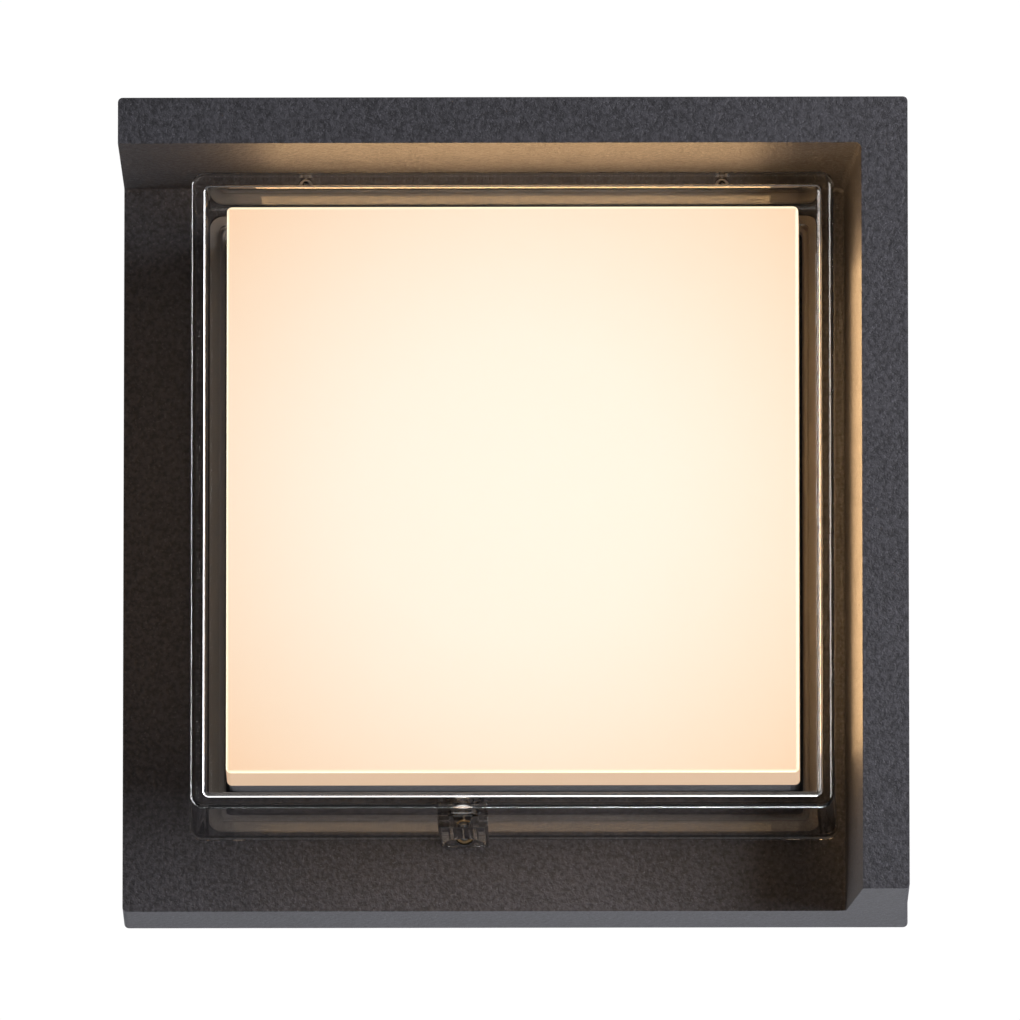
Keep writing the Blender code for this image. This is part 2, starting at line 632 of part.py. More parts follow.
def make_terminals(parent):
    """Three-way terminal block with its screws, and the earth terminal beside it."""
    body = solid("terminal_block", loft([
        square(TERMINAL_HALF_X, TERMINAL_REAR, 1.2, TERMINAL_HALF_Z, (0, TERMINAL_Z), 2),
        square(TERMINAL_HALF_X, DRIVER_BASE, 1.2, TERMINAL_HALF_Z, (0, TERMINAL_Z), 2),
    ]), finish=GREY_NYLON, parent=parent)
    fuse(body, "terminal_tab", block(16, 27, DRIVER_BASE - TERMINAL_TAB, DRIVER_BASE - 0.05, -35, -25))
    cut(body, "tab_hole", rod(M3_HOLE, DRIVER_BASE - 4, DRIVER_BASE + 1, 12, TERMINAL_SCREW_X, TERMINAL_Z))
    for x, name in ((-TERMINAL_PITCH, "live"), (0.0, "neutral"), (TERMINAL_PITCH, "earth")):
        cut(body, "screw_well", rod(2.6, 28, 33.5, 12, x, TERMINAL_Z))
        cut(body, "wire_entry", block(x - 2.2, x + 2.2, 35, 39.4, TERMINAL_Z - 9, TERMINAL_Z - 4))
        facing_rear(pan_screw(f"terminal_screw_{name}", (x, -32.3, TERMINAL_Z), 0.9, BRASS, parent,
                              1.6, 2.1, 1.6))
    at = (TERMINAL_SCREW_X, -(DRIVER_BASE - TERMINAL_TAB - GAP), TERMINAL_Z)
    facing_rear(pan_screw("terminal_fixing_screw", at, 6.0, ZINC, parent))
    ring = solid("earth_ring_terminal", turned_ring(((1.85, 0), (3.6, 0), (3.6, 0.8), (1.85, 0.8)), 16),
                 (EARTH_X, -(STUD_TOP - GAP), TERMINAL_Z), ZINC, parent)
    facing_rear(ring)
    fuse(ring, "crimp_barrel", block(-1.3, 1.3, -2.3, -0.02, 3.1, 8.5),
         (EARTH_X, -(STUD_TOP - GAP), TERMINAL_Z))
    facing_rear(pan_screw("earth_screw", (EARTH_X, -(STUD_TOP - 1.4), TERMINAL_Z), 5.5, BRASS, parent))


def make_leads(parent):
    """Internal leads, each clipped in along its real route."""
    case_side = DRIVER_Z - DRIVER_HALF_Z - GAP
    block_side = TERMINAL_Z + TERMINAL_HALF_Z + GAP
    for name, x, end_x, finish in (("lead_live", -TERMINAL_PITCH, -30.0, BROWN_SLEEVE),
                                   ("lead_neutral", 0.0, -22.0, BLUE_SLEEVE)):
        lead(name, [(x, -37, block_side), (x, -36.5, block_side + 6), (x - 3, -34, block_side + 14),
                    (end_x + 2, -32, case_side - 12), (end_x, -32, case_side - 5), (end_x, -32, case_side)],
             finish, LEAD_RADIUS, parent)
    lead("lead_earth", [(EARTH_X, -40.5, TERMINAL_Z + 8.8), (EARTH_X, -39.5, TERMINAL_Z + 15),
                        (-34, -37, TERMINAL_Z + 19), (-27, -36, TERMINAL_Z + 15),
                        (-24.5, -36, TERMINAL_Z + 7),
                        (-22, -36, TERMINAL_Z + 1), (-17.4, -36, TERMINAL_Z)], GREEN_SLEEVE, LEAD_RADIUS,
         parent)
    plug_side = -45.5 - GAP
    for name, x, finish in (("led_lead_positive", LED_LEAD_APART, RED_SLEEVE),
                            ("led_lead_negative", -LED_LEAD_APART, BLACK_SLEEVE)):
        lead(name, [(28 + x, -30, case_side), (28 + x, -30, case_side - 6), (30 + x, -29, 0),
                    (33 + x, -28 - 0.3 * x, -14), (32 + x, -28 - 0.6 * x, -30),
                    (23 + 0.8 * x, -29.5 - x, -43 + 0.5 * x), (11 + 0.4 * x, -33 - x, -50),
                    (3.5 + 0.7 * x, -37 - x, LEAD_HOLE_Z), (x, -42, LEAD_HOLE_Z), (x, -46, LEAD_HOLE_Z),
                    (x, -50, LEAD_HOLE_Z), (x, -52.4, LEAD_HOLE_Z + 1.4), (x, -53.3, LEAD_HOLE_Z + 3.6),
                    (x, -53.3, plug_side)], finish, LED_LEAD_RADIUS, parent)


# ------------------------------------------------------------------------------- light engine

def make_led_board(parent):
    """Aluminium circuit board with its LEDs and lead socket, on a heat-conducting pad."""
    solid("thermal_pad", loft([square(46.0, STEP_DEPTH + GAP, 1.0, 38.0),
                               square(46.0, STEP_DEPTH + GAP + PAD_THICK, 1.0, 38.0)]),
          finish=GREY_PAD, parent=parent)
    front = BOARD_BASE + BOARD_THICK
    board = solid("led_board", loft([square(BOARD_HALF, BOARD_BASE, 2.0), square(BOARD_HALF, front, 2.0)]),
                  finish=BOARD_WHITE, parent=parent)
    places = [(index - (LED_COUNT - 1) / 2) * LED_PITCH for index in range(LED_COUNT)]
    chips = [(x - 1.5, x + 1.5, front - 0.3, front + 0.7, z - 1.4, z + 1.4) for x in places for z in places]
    fuse(board, "leds", blocks(chips))
    fuse(board, "lead_socket", block(-5, 5, front - 0.4, front + 3.2, -45.5, -40.5))
    number = 0
    for x in (-BOARD_SCREW_AT, BOARD_SCREW_AT):
        for z in (-BOARD_SCREW_AT, BOARD_SCREW_AT):
            number += 1
            cut(board, "board_hole", rod(M3_HOLE, BOARD_BASE - 1, front + 1, 12, x, z))
            facing_front(pan_screw(f"led_board_screw_{number}", (x, -(front + GAP), z), 8.0, ZINC, parent))
    grommet = facing_front(solid("lead_grommet", turned(LEAD_GROMMET_PROFILE, 16),
                                 (0, -STEP_DEPTH, LEAD_HOLE_Z), RUBBER, parent))
    for x in (-LED_LEAD_APART, LED_LEAD_APART):
        cut(grommet, "lead_bore", rod(0.95, 40, 54, 12, x, LEAD_HOLE_Z))


def make_reflector(parent):
    """White frame that hides the board's edge and throws stray light forwards."""
    rings = [square(half, depth, 2.5) for half, depth in REFLECTOR_SECTION]
    solid("reflector_frame", loft(rings, ends=False), finish=WHITE_PLASTIC, parent=parent)


def make_diffuser(parent):
    """Opal tray with a rounded front edge, and the four spring clips that hold it."""
    wall = DIFFUSER_WALL
    height = DIFFUSER_HEIGHT
    front = DIFFUSER_HALF_FRONT
    inner = DIFFUSER_CORNER * 0.7
    rings = [square(front - wall - 0.5, height - wall, inner * 0.6),
             square(front - wall, height - wall - 0.5, inner),
             square(DIFFUSER_HALF_BASE - wall, 0, inner), square(DIFFUSER_HALF_BASE, 0, DIFFUSER_CORNER)]
    for across, along in quarter(DIFFUSER_ROUND):
        rings.append(square(front - across, height - DIFFUSER_ROUND + along, DIFFUSER_CORNER - across))
    solid("opal_diffuser", loft(rings), (0, -DIFFUSER_BASE, DIFFUSER_Z), OPAL, parent)
    for number in range(4):
        rings = [[(x, -depth, out) for out, depth in CLIP_LEAF] for x in (-CLIP_HALF_WIDTH, CLIP_HALF_WIDTH)]
        clip = solid(f"diffuser_clip_{number + 1}", loft(rings), finish=STAINLESS, parent=parent,
                     smooth=False)
        turn = math.radians(90 * number)
        reach = STEP_HALF - 1.1
        seat = PEDESTAL_DEPTH + GAP + 0.05
        clip.location = Vector((reach * math.sin(turn), -seat, reach * math.cos(turn))) * MM
        clip.rotation_euler = (0, turn, 0)


# ------------------------------------------------------------------------------- clear cover

def cover_shell():
    """Clear box from the inside of its front, round its foot, to the rounded outer front edge."""
    height = COVER_HEIGHT
    inner_base = COVER_HALF_BASE - COVER_WALL
    inner_front = COVER_HALF_FRONT - COVER_WALL
    steps = 6
    rings = [square(inner_front - 0.8, height - COVER_WALL, 0.8, steps=steps),
             square(inner_front - 0.25, height - COVER_WALL - 0.25, 1.2, steps=steps),
             square(inner_front, height - COVER_WALL - 0.8, 1.4, steps=steps),
             square(inner_base, FOOT_THICK, 1.6, steps=steps),
             square(FOOT_INNER, FOOT_THICK, 1.2, steps=steps),
             square(FOOT_INNER, 0, 1.2, steps=steps),
             square(COVER_HALF_BASE + COVER_RIM, 0, COVER_CORNER, steps=steps),
             square(COVER_HALF_BASE + COVER_RIM, 1.3, COVER_CORNER, steps=steps),
             square(COVER_HALF_BASE, 1.7, COVER_CORNER - 0.3, steps=steps)]
    for across, along in quarter(COVER_ROUND, 4):
        rings.append(square(COVER_HALF_FRONT - across, height - COVER_ROUND + along,
                            COVER_CORNER - across, steps=steps))
    return loft(rings)


def rib():
    """Raised rib under the cover, which carries the lock screw's channel."""
    corners = ((RIB_X - RIB_HALF, RIB_BOTTOM), (RIB_X + RIB_HALF, RIB_BOTTOM), (RIB_X + RIB_HALF, -68.2),
               (RIB_X - RIB_HALF, -68.2))
    return loft([rounded(corners, (1.0, 1.0, 0.2, 0.2), 0.02, 3),
                 rounded(corners, (1.0, 1.0, 0.2, 0.2), RIB_LENGTH, 3)])


def make_cover(parent):
    """Clear cover with its rib and pegs, and the seal it presses on."""
    cover = solid("clear_cover", cover_shell(), finish=CLEAR, parent=parent)
    fuse(cover, "screw_rib", rib())
    fuse(cover, "channel_pad", block(RIB_X - PAD_HALF, RIB_X + PAD_HALF, 1.0, RIB_LENGTH, -68.5, PAD_TOP))
    cut(cover, "driver_channel", rod(CHANNEL_RADIUS, 5.0, RIB_LENGTH + 0.6, 20, RIB_X, LOCK_Z))
    cut(cover, "lock_screw_hole", rod(1.5, -1, 6, 14, RIB_X, LOCK_Z))
    for x in (-PEG_X, PEG_X):
        fuse(cover, "peg", rod(PEG_RADIUS, -4.0, 0.8, 12, x, PEG_Z))


def make_cover_fittings(parent):
    """Seal, grip bushes and threaded insert that stay in the body when the cover comes off."""
    solid("cover_gasket", frame(66.1, 64.5, PLATE_DEPTH + 0.2, PLATE_DEPTH - 0.9, 3.0), finish=PALE_SEAL,
          parent=parent)
    for x, name in ((-PEG_X, "cover_grip_bush_left"), (PEG_X, "cover_grip_bush_right")):
        facing_front(solid(name, turned(BUSH_PROFILE, 14), (x, -PLATE_DEPTH, PEG_Z), PALE_SEAL, parent))
    facing_front(solid("lock_screw_insert", turned(INSERT_PROFILE, 14), (RIB_X, -PLATE_DEPTH, LOCK_Z),
                       BRASS, parent))


def main():
    """Build the whole light."""
    clear_scene()
    light = empty("wall_light", (0, 0, 0))
    make_housing(light)
    make_wall_bracket(light)
    make_rear_closure(light)
    make_side_screws(light)
    make_driver(light)
    make_terminals(light)
    make_leads(light)
    make_led_board(light)
    make_reflector(light)
    make_diffuser(light)
    make_cover_fittings(light)
    slide = empty("cover_slide", (0, -COVER_BASE, 0), light)
    make_cover(slide)
    turn = empty("lock_screw_turn", (RIB_X, -5.0 - GAP, LOCK_Z), slide)
    facing_front(pan_screw("cover_lock_screw", (0, 0, 0), 9.5, STAINLESS, turn, 1.2, 1.85, 1.8))
    bpy.context.view_layer.update()


main()
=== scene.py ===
"""Outdoor wall lantern: clear cover, opal diffuser, fixings, finishes and studio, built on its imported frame.

All sizes are in metres. X runs to the right, Y into the wall and Z up; the wall is the plane Y = 0.
"""
import json
import math

import bpy
import numpy as np
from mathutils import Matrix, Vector


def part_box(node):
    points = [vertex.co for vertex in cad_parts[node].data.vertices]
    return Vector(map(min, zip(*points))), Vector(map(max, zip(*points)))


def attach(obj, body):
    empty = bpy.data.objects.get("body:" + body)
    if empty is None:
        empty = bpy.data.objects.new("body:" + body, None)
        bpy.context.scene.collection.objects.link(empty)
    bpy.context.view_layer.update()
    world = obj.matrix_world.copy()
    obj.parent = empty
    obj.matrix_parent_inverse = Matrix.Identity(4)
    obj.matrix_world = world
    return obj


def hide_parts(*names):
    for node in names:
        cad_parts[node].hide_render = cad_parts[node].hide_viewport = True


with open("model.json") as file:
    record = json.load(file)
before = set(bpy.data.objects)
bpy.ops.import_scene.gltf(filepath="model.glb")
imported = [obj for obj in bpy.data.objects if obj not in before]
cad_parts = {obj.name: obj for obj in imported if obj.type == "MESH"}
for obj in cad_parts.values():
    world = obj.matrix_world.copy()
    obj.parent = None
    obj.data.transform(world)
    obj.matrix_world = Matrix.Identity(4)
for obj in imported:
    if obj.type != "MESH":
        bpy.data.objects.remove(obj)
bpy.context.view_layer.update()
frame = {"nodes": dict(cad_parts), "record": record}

bl_info = {
    "name": "Outdoor wall lantern",
    "version": (1, 0, 0),
    "blender": (4, 5, 0),
    "location": "3D View > Sidebar > Lantern",
    "description": "Clear cover, opal diffuser, fixings, finishes and studio for a hooded LED wall lantern",
    "category": "Object",
}

MM = 0.001
SLOT_OF = {row["node"]: row["material_slot"] for row in frame["record"]["subparts"]}

SMOOTH_ANGLE = 32.0
SCREW_SMOOTH_ANGLE = 38.0
SCREW_COLUMNS = 36

THREAD_DEPTH = 0.24 * MM
LID_SHANK, LID_HEAD_RISE = 1.5 * MM, 1.9 * MM
LOCK_SHANK, LOCK_HEAD_RISE = 1.2 * MM, 1.8 * MM
BRACKET_SHANK = 2.0 * MM

LED_PITCH = 24.0 * MM
DIFFUSER_DRAFT = 0.2 * MM
DIFFUSER_FILLET = 0.6 * MM

COVER_DEPTH = 42.7 * MM
FOOT_HEIGHT = 2.2 * MM
FOOT_OPENING = 63.9 * MM
FOOT_LIP = 0.4 * MM
FRONT_DRAFT = 1.25 * MM
RIB_HALF, RIB_LENGTH, RIB_TOP = 5.4 * MM, 31.1 * MM, -68.2 * MM
PAD_HALF, PAD_THICK, PAD_AT = 3.2 * MM, 1.3 * MM, -67.2 * MM
PEG_X, PEG_Z, PEG_RADIUS, PEG_REACH = 45.0 * MM, 69.0 * MM, 0.7 * MM, 4.0 * MM
ARCH_HALF, ARCH_START, ARCH_LENGTH = 4.5 * MM, 1.2 * MM, 13.0 * MM
CHANNEL_RADIUS, HOLE_RADIUS = 2.15 * MM, 1.5 * MM

SEAL_GROOVE = 64.5 * MM
SEAL_BEAD = 63.75 * MM

FLOOR_HALF, FLOOR_LEVEL = 16.0, -4.4
ROOM_FRONT, ROOM_BACK, BACKDROP = 0.02, 0.15, 1.02
LIGHTS_AIM = (0, -0.03, 0)
COOL, PALE, STRIP, WARM = (0.97, 0.98, 1.0), (0.96, 0.98, 1.0), (0.93, 0.95, 1.0), (1.0, 0.62, 0.28)
SPILL_OFF = 0.25 * MM
# Place along Y and depth of the panels off the cover; the powers below run up, down, right and left.
COVER_SPILL = (-52 * MM, 24 * MM)
DIFFUSER_POWERS, COVER_POWERS = (0.045, 0.012, 0.060, 0.007), (0.0065, 0.0, 0.016, 0.0)

CAMERA_LENS, CAMERA_SENSOR = 750.0, 36.0
CAMERA_AIM, CAMERA_AWAY = (-0.0010, -0.0265, 0.0019), 4.6
CAMERA_LIFT, CAMERA_SWING = math.radians(-8.6), math.radians(0.64)


# ------------------------------------------------------------------------------------ sizes and colours

class LanternSizes(bpy.types.PropertyGroup):
    """Sizes of the moulded and turned pieces that a maker would change."""

    cover_wall: bpy.props.FloatProperty(
        name="Cover wall", description="Thickness of the clear cover's walls",
        default=2.5 * MM, min=1.5 * MM, max=3.5 * MM, unit="LENGTH")
    cover_corner: bpy.props.FloatProperty(
        name="Cover corner", description="Radius of the clear cover's four upright corners",
        default=3.0 * MM, min=2.0 * MM, max=5.0 * MM, unit="LENGTH")
    cover_round: bpy.props.FloatProperty(
        name="Cover edge round", description="Radius round the clear cover's front edge",
        default=1.4 * MM, min=0.4 * MM, max=2.0 * MM, unit="LENGTH")
    diffuser_wall: bpy.props.FloatProperty(
        name="Diffuser wall", description="Thickness of the opal diffuser's walls",
        default=2.0 * MM, min=1.2 * MM, max=2.6 * MM, unit="LENGTH")
    cover_fillet: bpy.props.FloatProperty(
        name="Cover inner fillet", description="Radius inside the clear cover, between front and walls",
        default=1.3 * MM, min=0.4 * MM, max=2.0 * MM, unit="LENGTH")
    diffuser_round: bpy.props.FloatProperty(
        name="Diffuser edge round", description="Radius round the opal diffuser's front edge",
        default=0.8 * MM, min=0.3 * MM, max=1.0 * MM, unit="LENGTH")
    diffuser_corner: bpy.props.FloatProperty(
        name="Diffuser corner", description="Radius of the opal diffuser's four upright corners",
        default=1.1 * MM, min=1.05 * MM, max=3.0 * MM, unit="LENGTH")
    thread_pitch: bpy.props.FloatProperty(
        name="Thread pitch", description="Distance from one turn of a screw's thread to the next",
        default=0.5 * MM, min=0.4 * MM, max=0.7 * MM, unit="LENGTH")
    grain_pitch: bpy.props.FloatProperty(
        name="Coat grain", description="Distance between the grains of the textured powder coat",
        default=0.95 * MM, min=0.5 * MM, max=2.0 * MM, unit="LENGTH")


class LanternFinishes(bpy.types.PropertyGroup):
    """Colours of the finishes that a maker would change."""

    coat: bpy.props.FloatVectorProperty(
        name="Powder coat", description="Colour of the textured anthracite powder coat",
        default=(0.057, 0.056, 0.066), size=3, min=0, max=1, subtype="COLOR")
    glow_centre: bpy.props.FloatVectorProperty(
        name="Glow, centre", description="Light that leaves the middle of the opal diffuser",
        default=(0.93, 0.84, 0.70), size=3, min=0, max=4, subtype="COLOR")
    glow_corner: bpy.props.FloatVectorProperty(
        name="Glow, corners", description="Light that leaves the corners of the opal diffuser",
        default=(0.88, 0.56, 0.34), size=3, min=0, max=4, subtype="COLOR")
    glow_rim: bpy.props.FloatVectorProperty(
        name="Glow, rim", description="Light that gathers in the opal diffuser's rounded rim",
        default=(1.15, 1.00, 0.68), size=3, min=0, max=4, subtype="COLOR")
    acrylic: bpy.props.FloatVectorProperty(
        name="Clear acrylic", description="Tint of the clear cover",
        default=(0.985, 0.985, 0.98), size=3, min=0, max=1, subtype="COLOR")
    studio: bpy.props.FloatVectorProperty(
        name="Studio", description="Colour of the pale floor and backdrop",
        default=(0.90, 0.90, 0.90), size=3, min=0, max=1, subtype="COLOR")


# ------------------------------------------------------------------------------------ surfaces

def span(node):
    """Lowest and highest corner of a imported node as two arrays."""
    low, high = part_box(node)
    return np.array(low), np.array(high)


def arcs(steps):
    """Directions round four corner arcs, with the sign of the corner that each belongs to.

    On corner k the direction is (cos t, sin t), with t from k to k + 1 quarter turns in equal steps.
    """
    turn = (np.arange(4)[:, None] + np.linspace(0, 1, steps + 1)[None, :]) * math.pi / 2
    middle = (np.arange(4)[:, None] + 0.5) * math.pi / 2 + 0 * turn
    corner = np.stack((np.sign(np.cos(middle)), np.sign(np.sin(middle))), axis=-1)
    away = np.stack((np.cos(turn), np.sin(turn)), axis=-1)
    return corner.reshape(-1, 2), away.reshape(-1, 2)


def box_surface(rows, steps, centre=(0.0, 0.0)):
    """Points of a box-like surface: each row (half width, half height, corner radius, depth) is one outline.

    A point is the centre of its corner's arc, which is the corner drawn in by the radius, plus the radius
    along the arc's direction; depth runs from the wall towards the front, so it is minus Y.
    """
    rows = np.array(rows, float)
    corner, away = arcs(steps)
    half, radius, depth = rows[:, None, 0:2], rows[:, None, 2:3], rows[:, 3]
    flat = corner[None] * (half - radius) + radius * away[None] + np.array(centre)
    points = np.empty((len(rows), len(corner), 3))
    points[..., 0], points[..., 2] = flat[..., 0], flat[..., 1]
    points[..., 1] = -depth[:, None]
    return points


def quarter(half, depth, radius, corner, steps, outward=True):
    """Rows that carry an outline round a quarter circle onto the flat in front of it.

    The outline draws in by radius * (1 - cos t) while the depth gains radius * sin t, t from 0 to a quarter
    turn. Inward rounds run the other way, from the flat back to the side.
    """
    turn = np.linspace(0, math.pi / 2, steps + 1)
    drawn, gained = radius * (1 - np.cos(turn)), radius * np.sin(turn)
    rows = np.stack((half[0] - drawn, half[1] - drawn, corner - drawn, depth - radius + gained), axis=-1)
    return rows if outward else rows[::-1]


def grid_faces(rows, columns, ring):
    """Quads between neighbouring rows of a grid closed round its columns, and, as a ring, round its rows."""
    row, column = np.meshgrid(np.arange(rows if ring else rows - 1), np.arange(columns), indexing="ij")
    here, below, after = row * columns, (row + 1) % rows * columns, (column + 1) % columns
    return np.stack((here + column, below + column, below + after, here + after), axis=-1).reshape(-1, 4)


def mesh_from_grid(name, points, smooth_angle=SMOOTH_ANGLE, ring=False):
    """Closed mesh from a grid of points (rows, columns, 3), with quads between the rows.

    Each end is one flat face, but a ring has no ends: its last row meets its first one.
    """
    rows, columns = points.shape[:2]
    quads = grid_faces(rows, columns, ring).tolist()
    ends = [] if ring else [list(range(columns)), list(range((rows - 1) * columns, rows * columns))[::-1]]
    mesh = bpy.data.meshes.new(name)
    mesh.from_pydata(points.reshape(-1, 3).tolist(), [], quads + ends)
    mesh.validate()
    outwards(mesh)
    mesh.shade_smooth()
    mesh.set_sharp_from_angle(angle=math.radians(smooth_angle))
    return mesh


def outwards(mesh):
    """Turn every face over if the closed mesh encloses a negative volume.

    The volume is a sixth of the sum, over the triangles, of the triple product of their corners.
    """
    mesh.calc_loop_triangles()
    triangles = np.empty(len(mesh.loop_triangles) * 3, np.int32)
    mesh.loop_triangles.foreach_get("vertices", triangles)
    points = np.empty(len(mesh.vertices) * 3)
    mesh.vertices.foreach_get("co", points)
    a, b, c = np.moveaxis(points.reshape(-1, 3)[triangles.reshape(-1, 3)], 1, 0)
    if np.einsum("ij,ij->i", a, np.cross(b, c)).sum() < 0:
        mesh.flip_normals()


def place(name, mesh, material):
    """Put a finished mesh into the scene as a piece at the origin."""
    piece = bpy.data.objects.new(name, mesh)
    bpy.context.collection.objects.link(piece)
    mesh.materials.clear()
    mesh.materials.append(material)
    return piece


def carve(piece, others):
    """Unite a piece with helper shapes or cut them out of it, in order, and keep the result as its mesh."""
    helpers = []
    for mesh, operation in others:
        helper = place("helper", mesh, piece.data.materials[0])
        step = piece.modifiers.new(operation.lower(), "BOOLEAN")
        step.operation, step.solver, step.object = operation, "EXACT", helper
        helpers.append(helper)
    bpy.context.view_layer.update()
    result = bpy.data.meshes.new_from_object(piece.evaluated_get(bpy.context.evaluated_depsgraph_get()))
    piece.modifiers.clear()
    piece.data = result
    for helper in helpers:
        bpy.data.objects.remove(helper)
    result.shade_smooth()
    result.set_sharp_from_angle(angle=math.radians(SMOOTH_ANGLE))


def even_shading(piece):
    """Let the large flat faces lead the shading, so that the rounds between them blend in cleanly."""
    weights = piece.modifiers.new("even_shading", "WEIGHTED_NORMAL")
    weights.mode, weights.weight, weights.keep_sharp = "FACE_AREA", 100, True


def turned(profile, columns, pitch=0.0, thread=0.0):
    """Points of a turned piece about its own Z axis from rows (radius, height, kind).

    A round row is a circle. A hex row is the circle's hexagon: radius / cos(angle within the side). A thread
    row draws in by the thread's depth times twice the distance from the nearest crest, in turns, where the
    crest's height runs round the axis by one pitch a turn.
    """
    radius = np.array([row[0] for row in profile], float)[:, None]
    height = np.array([row[1] for row in profile], float)[:, None]
    kind = np.array([row[2] for row in profile])[:, None]
    angle = np.linspace(0, 2 * math.pi, columns, endpoint=False)[None, :]
    hexagon = radius / np.cos(angle % (math.pi / 3) - math.pi / 6)
    reach = np.where(kind == "hex", hexagon, radius + 0 * angle)
    if thread:
        turns = height / pitch - angle / (2 * math.pi)
        reach = np.where(kind == "thread", radius - thread * 2 * np.abs(turns - np.round(turns)), reach)
    points = np.empty(reach.shape + (3,))
    points[..., 0], points[..., 1], points[..., 2] = reach * np.cos(angle), reach * np.sin(angle), height
    return points


def along(points, axis, at):
    """Turn points made about Z so that they point along an axis, and carry them to their place."""
    turn = np.array(Vector(axis).to_track_quat("Z", "Y").to_matrix())
    return points @ turn.T + np.array(at)


def screw_profile(shank, length, head_rows, pitch):
    """Rows of a screw from its tip: a short chamfer, the threaded shank, then the head's own rows.

    The thread has eight rows a turn, which is enough to carry its crest round as a clean helix.
    """
    heights = np.arange(-length + 0.6 * MM, -0.5 * MM, pitch / 8)
    rows = [(shank * 0.55, -length, "round")]
    rows += [(shank, height, "thread") for height in heights]
    rows += [(shank * 0.93, -0.4 * MM, "round"), (shank * 0.93, 0.0, "round")]
    return rows + head_rows


def pan_head(head, rise):
    """Rows of a domed head with a hexagon socket; the dome's radius falls as the cosine of its rise."""
    turn = np.linspace(0, math.radians(62), 7)
    top = math.sin(turn[-1])
    dome = [(head * (0.42 + 0.58 * math.cos(t) ** 0.8), rise * (0.35 + 0.65 * math.sin(t) / top), "round")
            for t in turn]
    socket = head * 0.45
    return [(head * 0.97, 0.0, "round"), (head, rise * 0.06, "round"), *dome,
            (socket * 1.22, rise, "round"), (socket * 1.04, rise * 0.97, "hex"),
            (socket, rise * 0.9, "hex"), (socket, rise * 0.35, "hex"), (socket * 0.3, rise * 0.22, "round")]


def sunk_head(head, shank):
    """Rows of a countersunk head, flat at its top, with a hexagon socket."""
    socket = head * 0.4
    return [(shank, -1.9 * MM, "round"), (head * 0.98, -0.3 * MM, "round"), (head, -0.15 * MM, "round"),
            (head * 0.985, 0.0, "round"), (socket * 1.22, 0.0, "round"), (socket * 1.04, -0.06 * MM, "hex"),
            (socket, -0.15 * MM, "hex"), (socket, -1.3 * MM, "hex"), (socket * 0.3, -1.5 * MM, "round")]


# ------------------------------------------------------------------------------------ shader wiring

class Wire:
    """A value on its way between the nodes of a finish; arithmetic on it adds Math nodes."""

    def __init__(self, finish, socket):
        self.finish = finish
        self.socket = socket

    def math(self, operation, *values):
        """Math node of the operation on the values given, in their order."""
        return self.finish.node("ShaderNodeMath", {"operation": operation}, dict(enumerate(values)))

    def __add__(self, other):
        return self.math("ADD", self, other)

    def __sub__(self, other):
        return self.math("SUBTRACT", self, other)

    def __rsub__(self, other):
        return self.math("SUBTRACT", other, self)

    def __mul__(self, other):
        return self.math("MULTIPLY", self, other)

    def __truediv__(self, other):
        return self.math("DIVIDE", self, other)

    def __pow__(self, other):
        return self.math("POWER", self, other)

    def __abs__(self):
        return self.math("ABSOLUTE", self)

    __radd__ = __add__
    __rmul__ = __mul__

    def larger(self, other):
        """The larger of the two values."""
        return self.math("MAXIMUM", self, other)

    def fraction(self):
        """The part of the value after its whole number."""
        return self.math("FRACT", self)

    def step(self, low, high):
        """0 below low, 1 above high, and a smooth rise between them."""
        return self.finish.node("ShaderNodeMapRange", {"interpolation_type": "SMOOTHSTEP"}, {
            "Value": self, "From Min": low, "From Max": high, "To Min": 0.0, "To Max": 1.0})


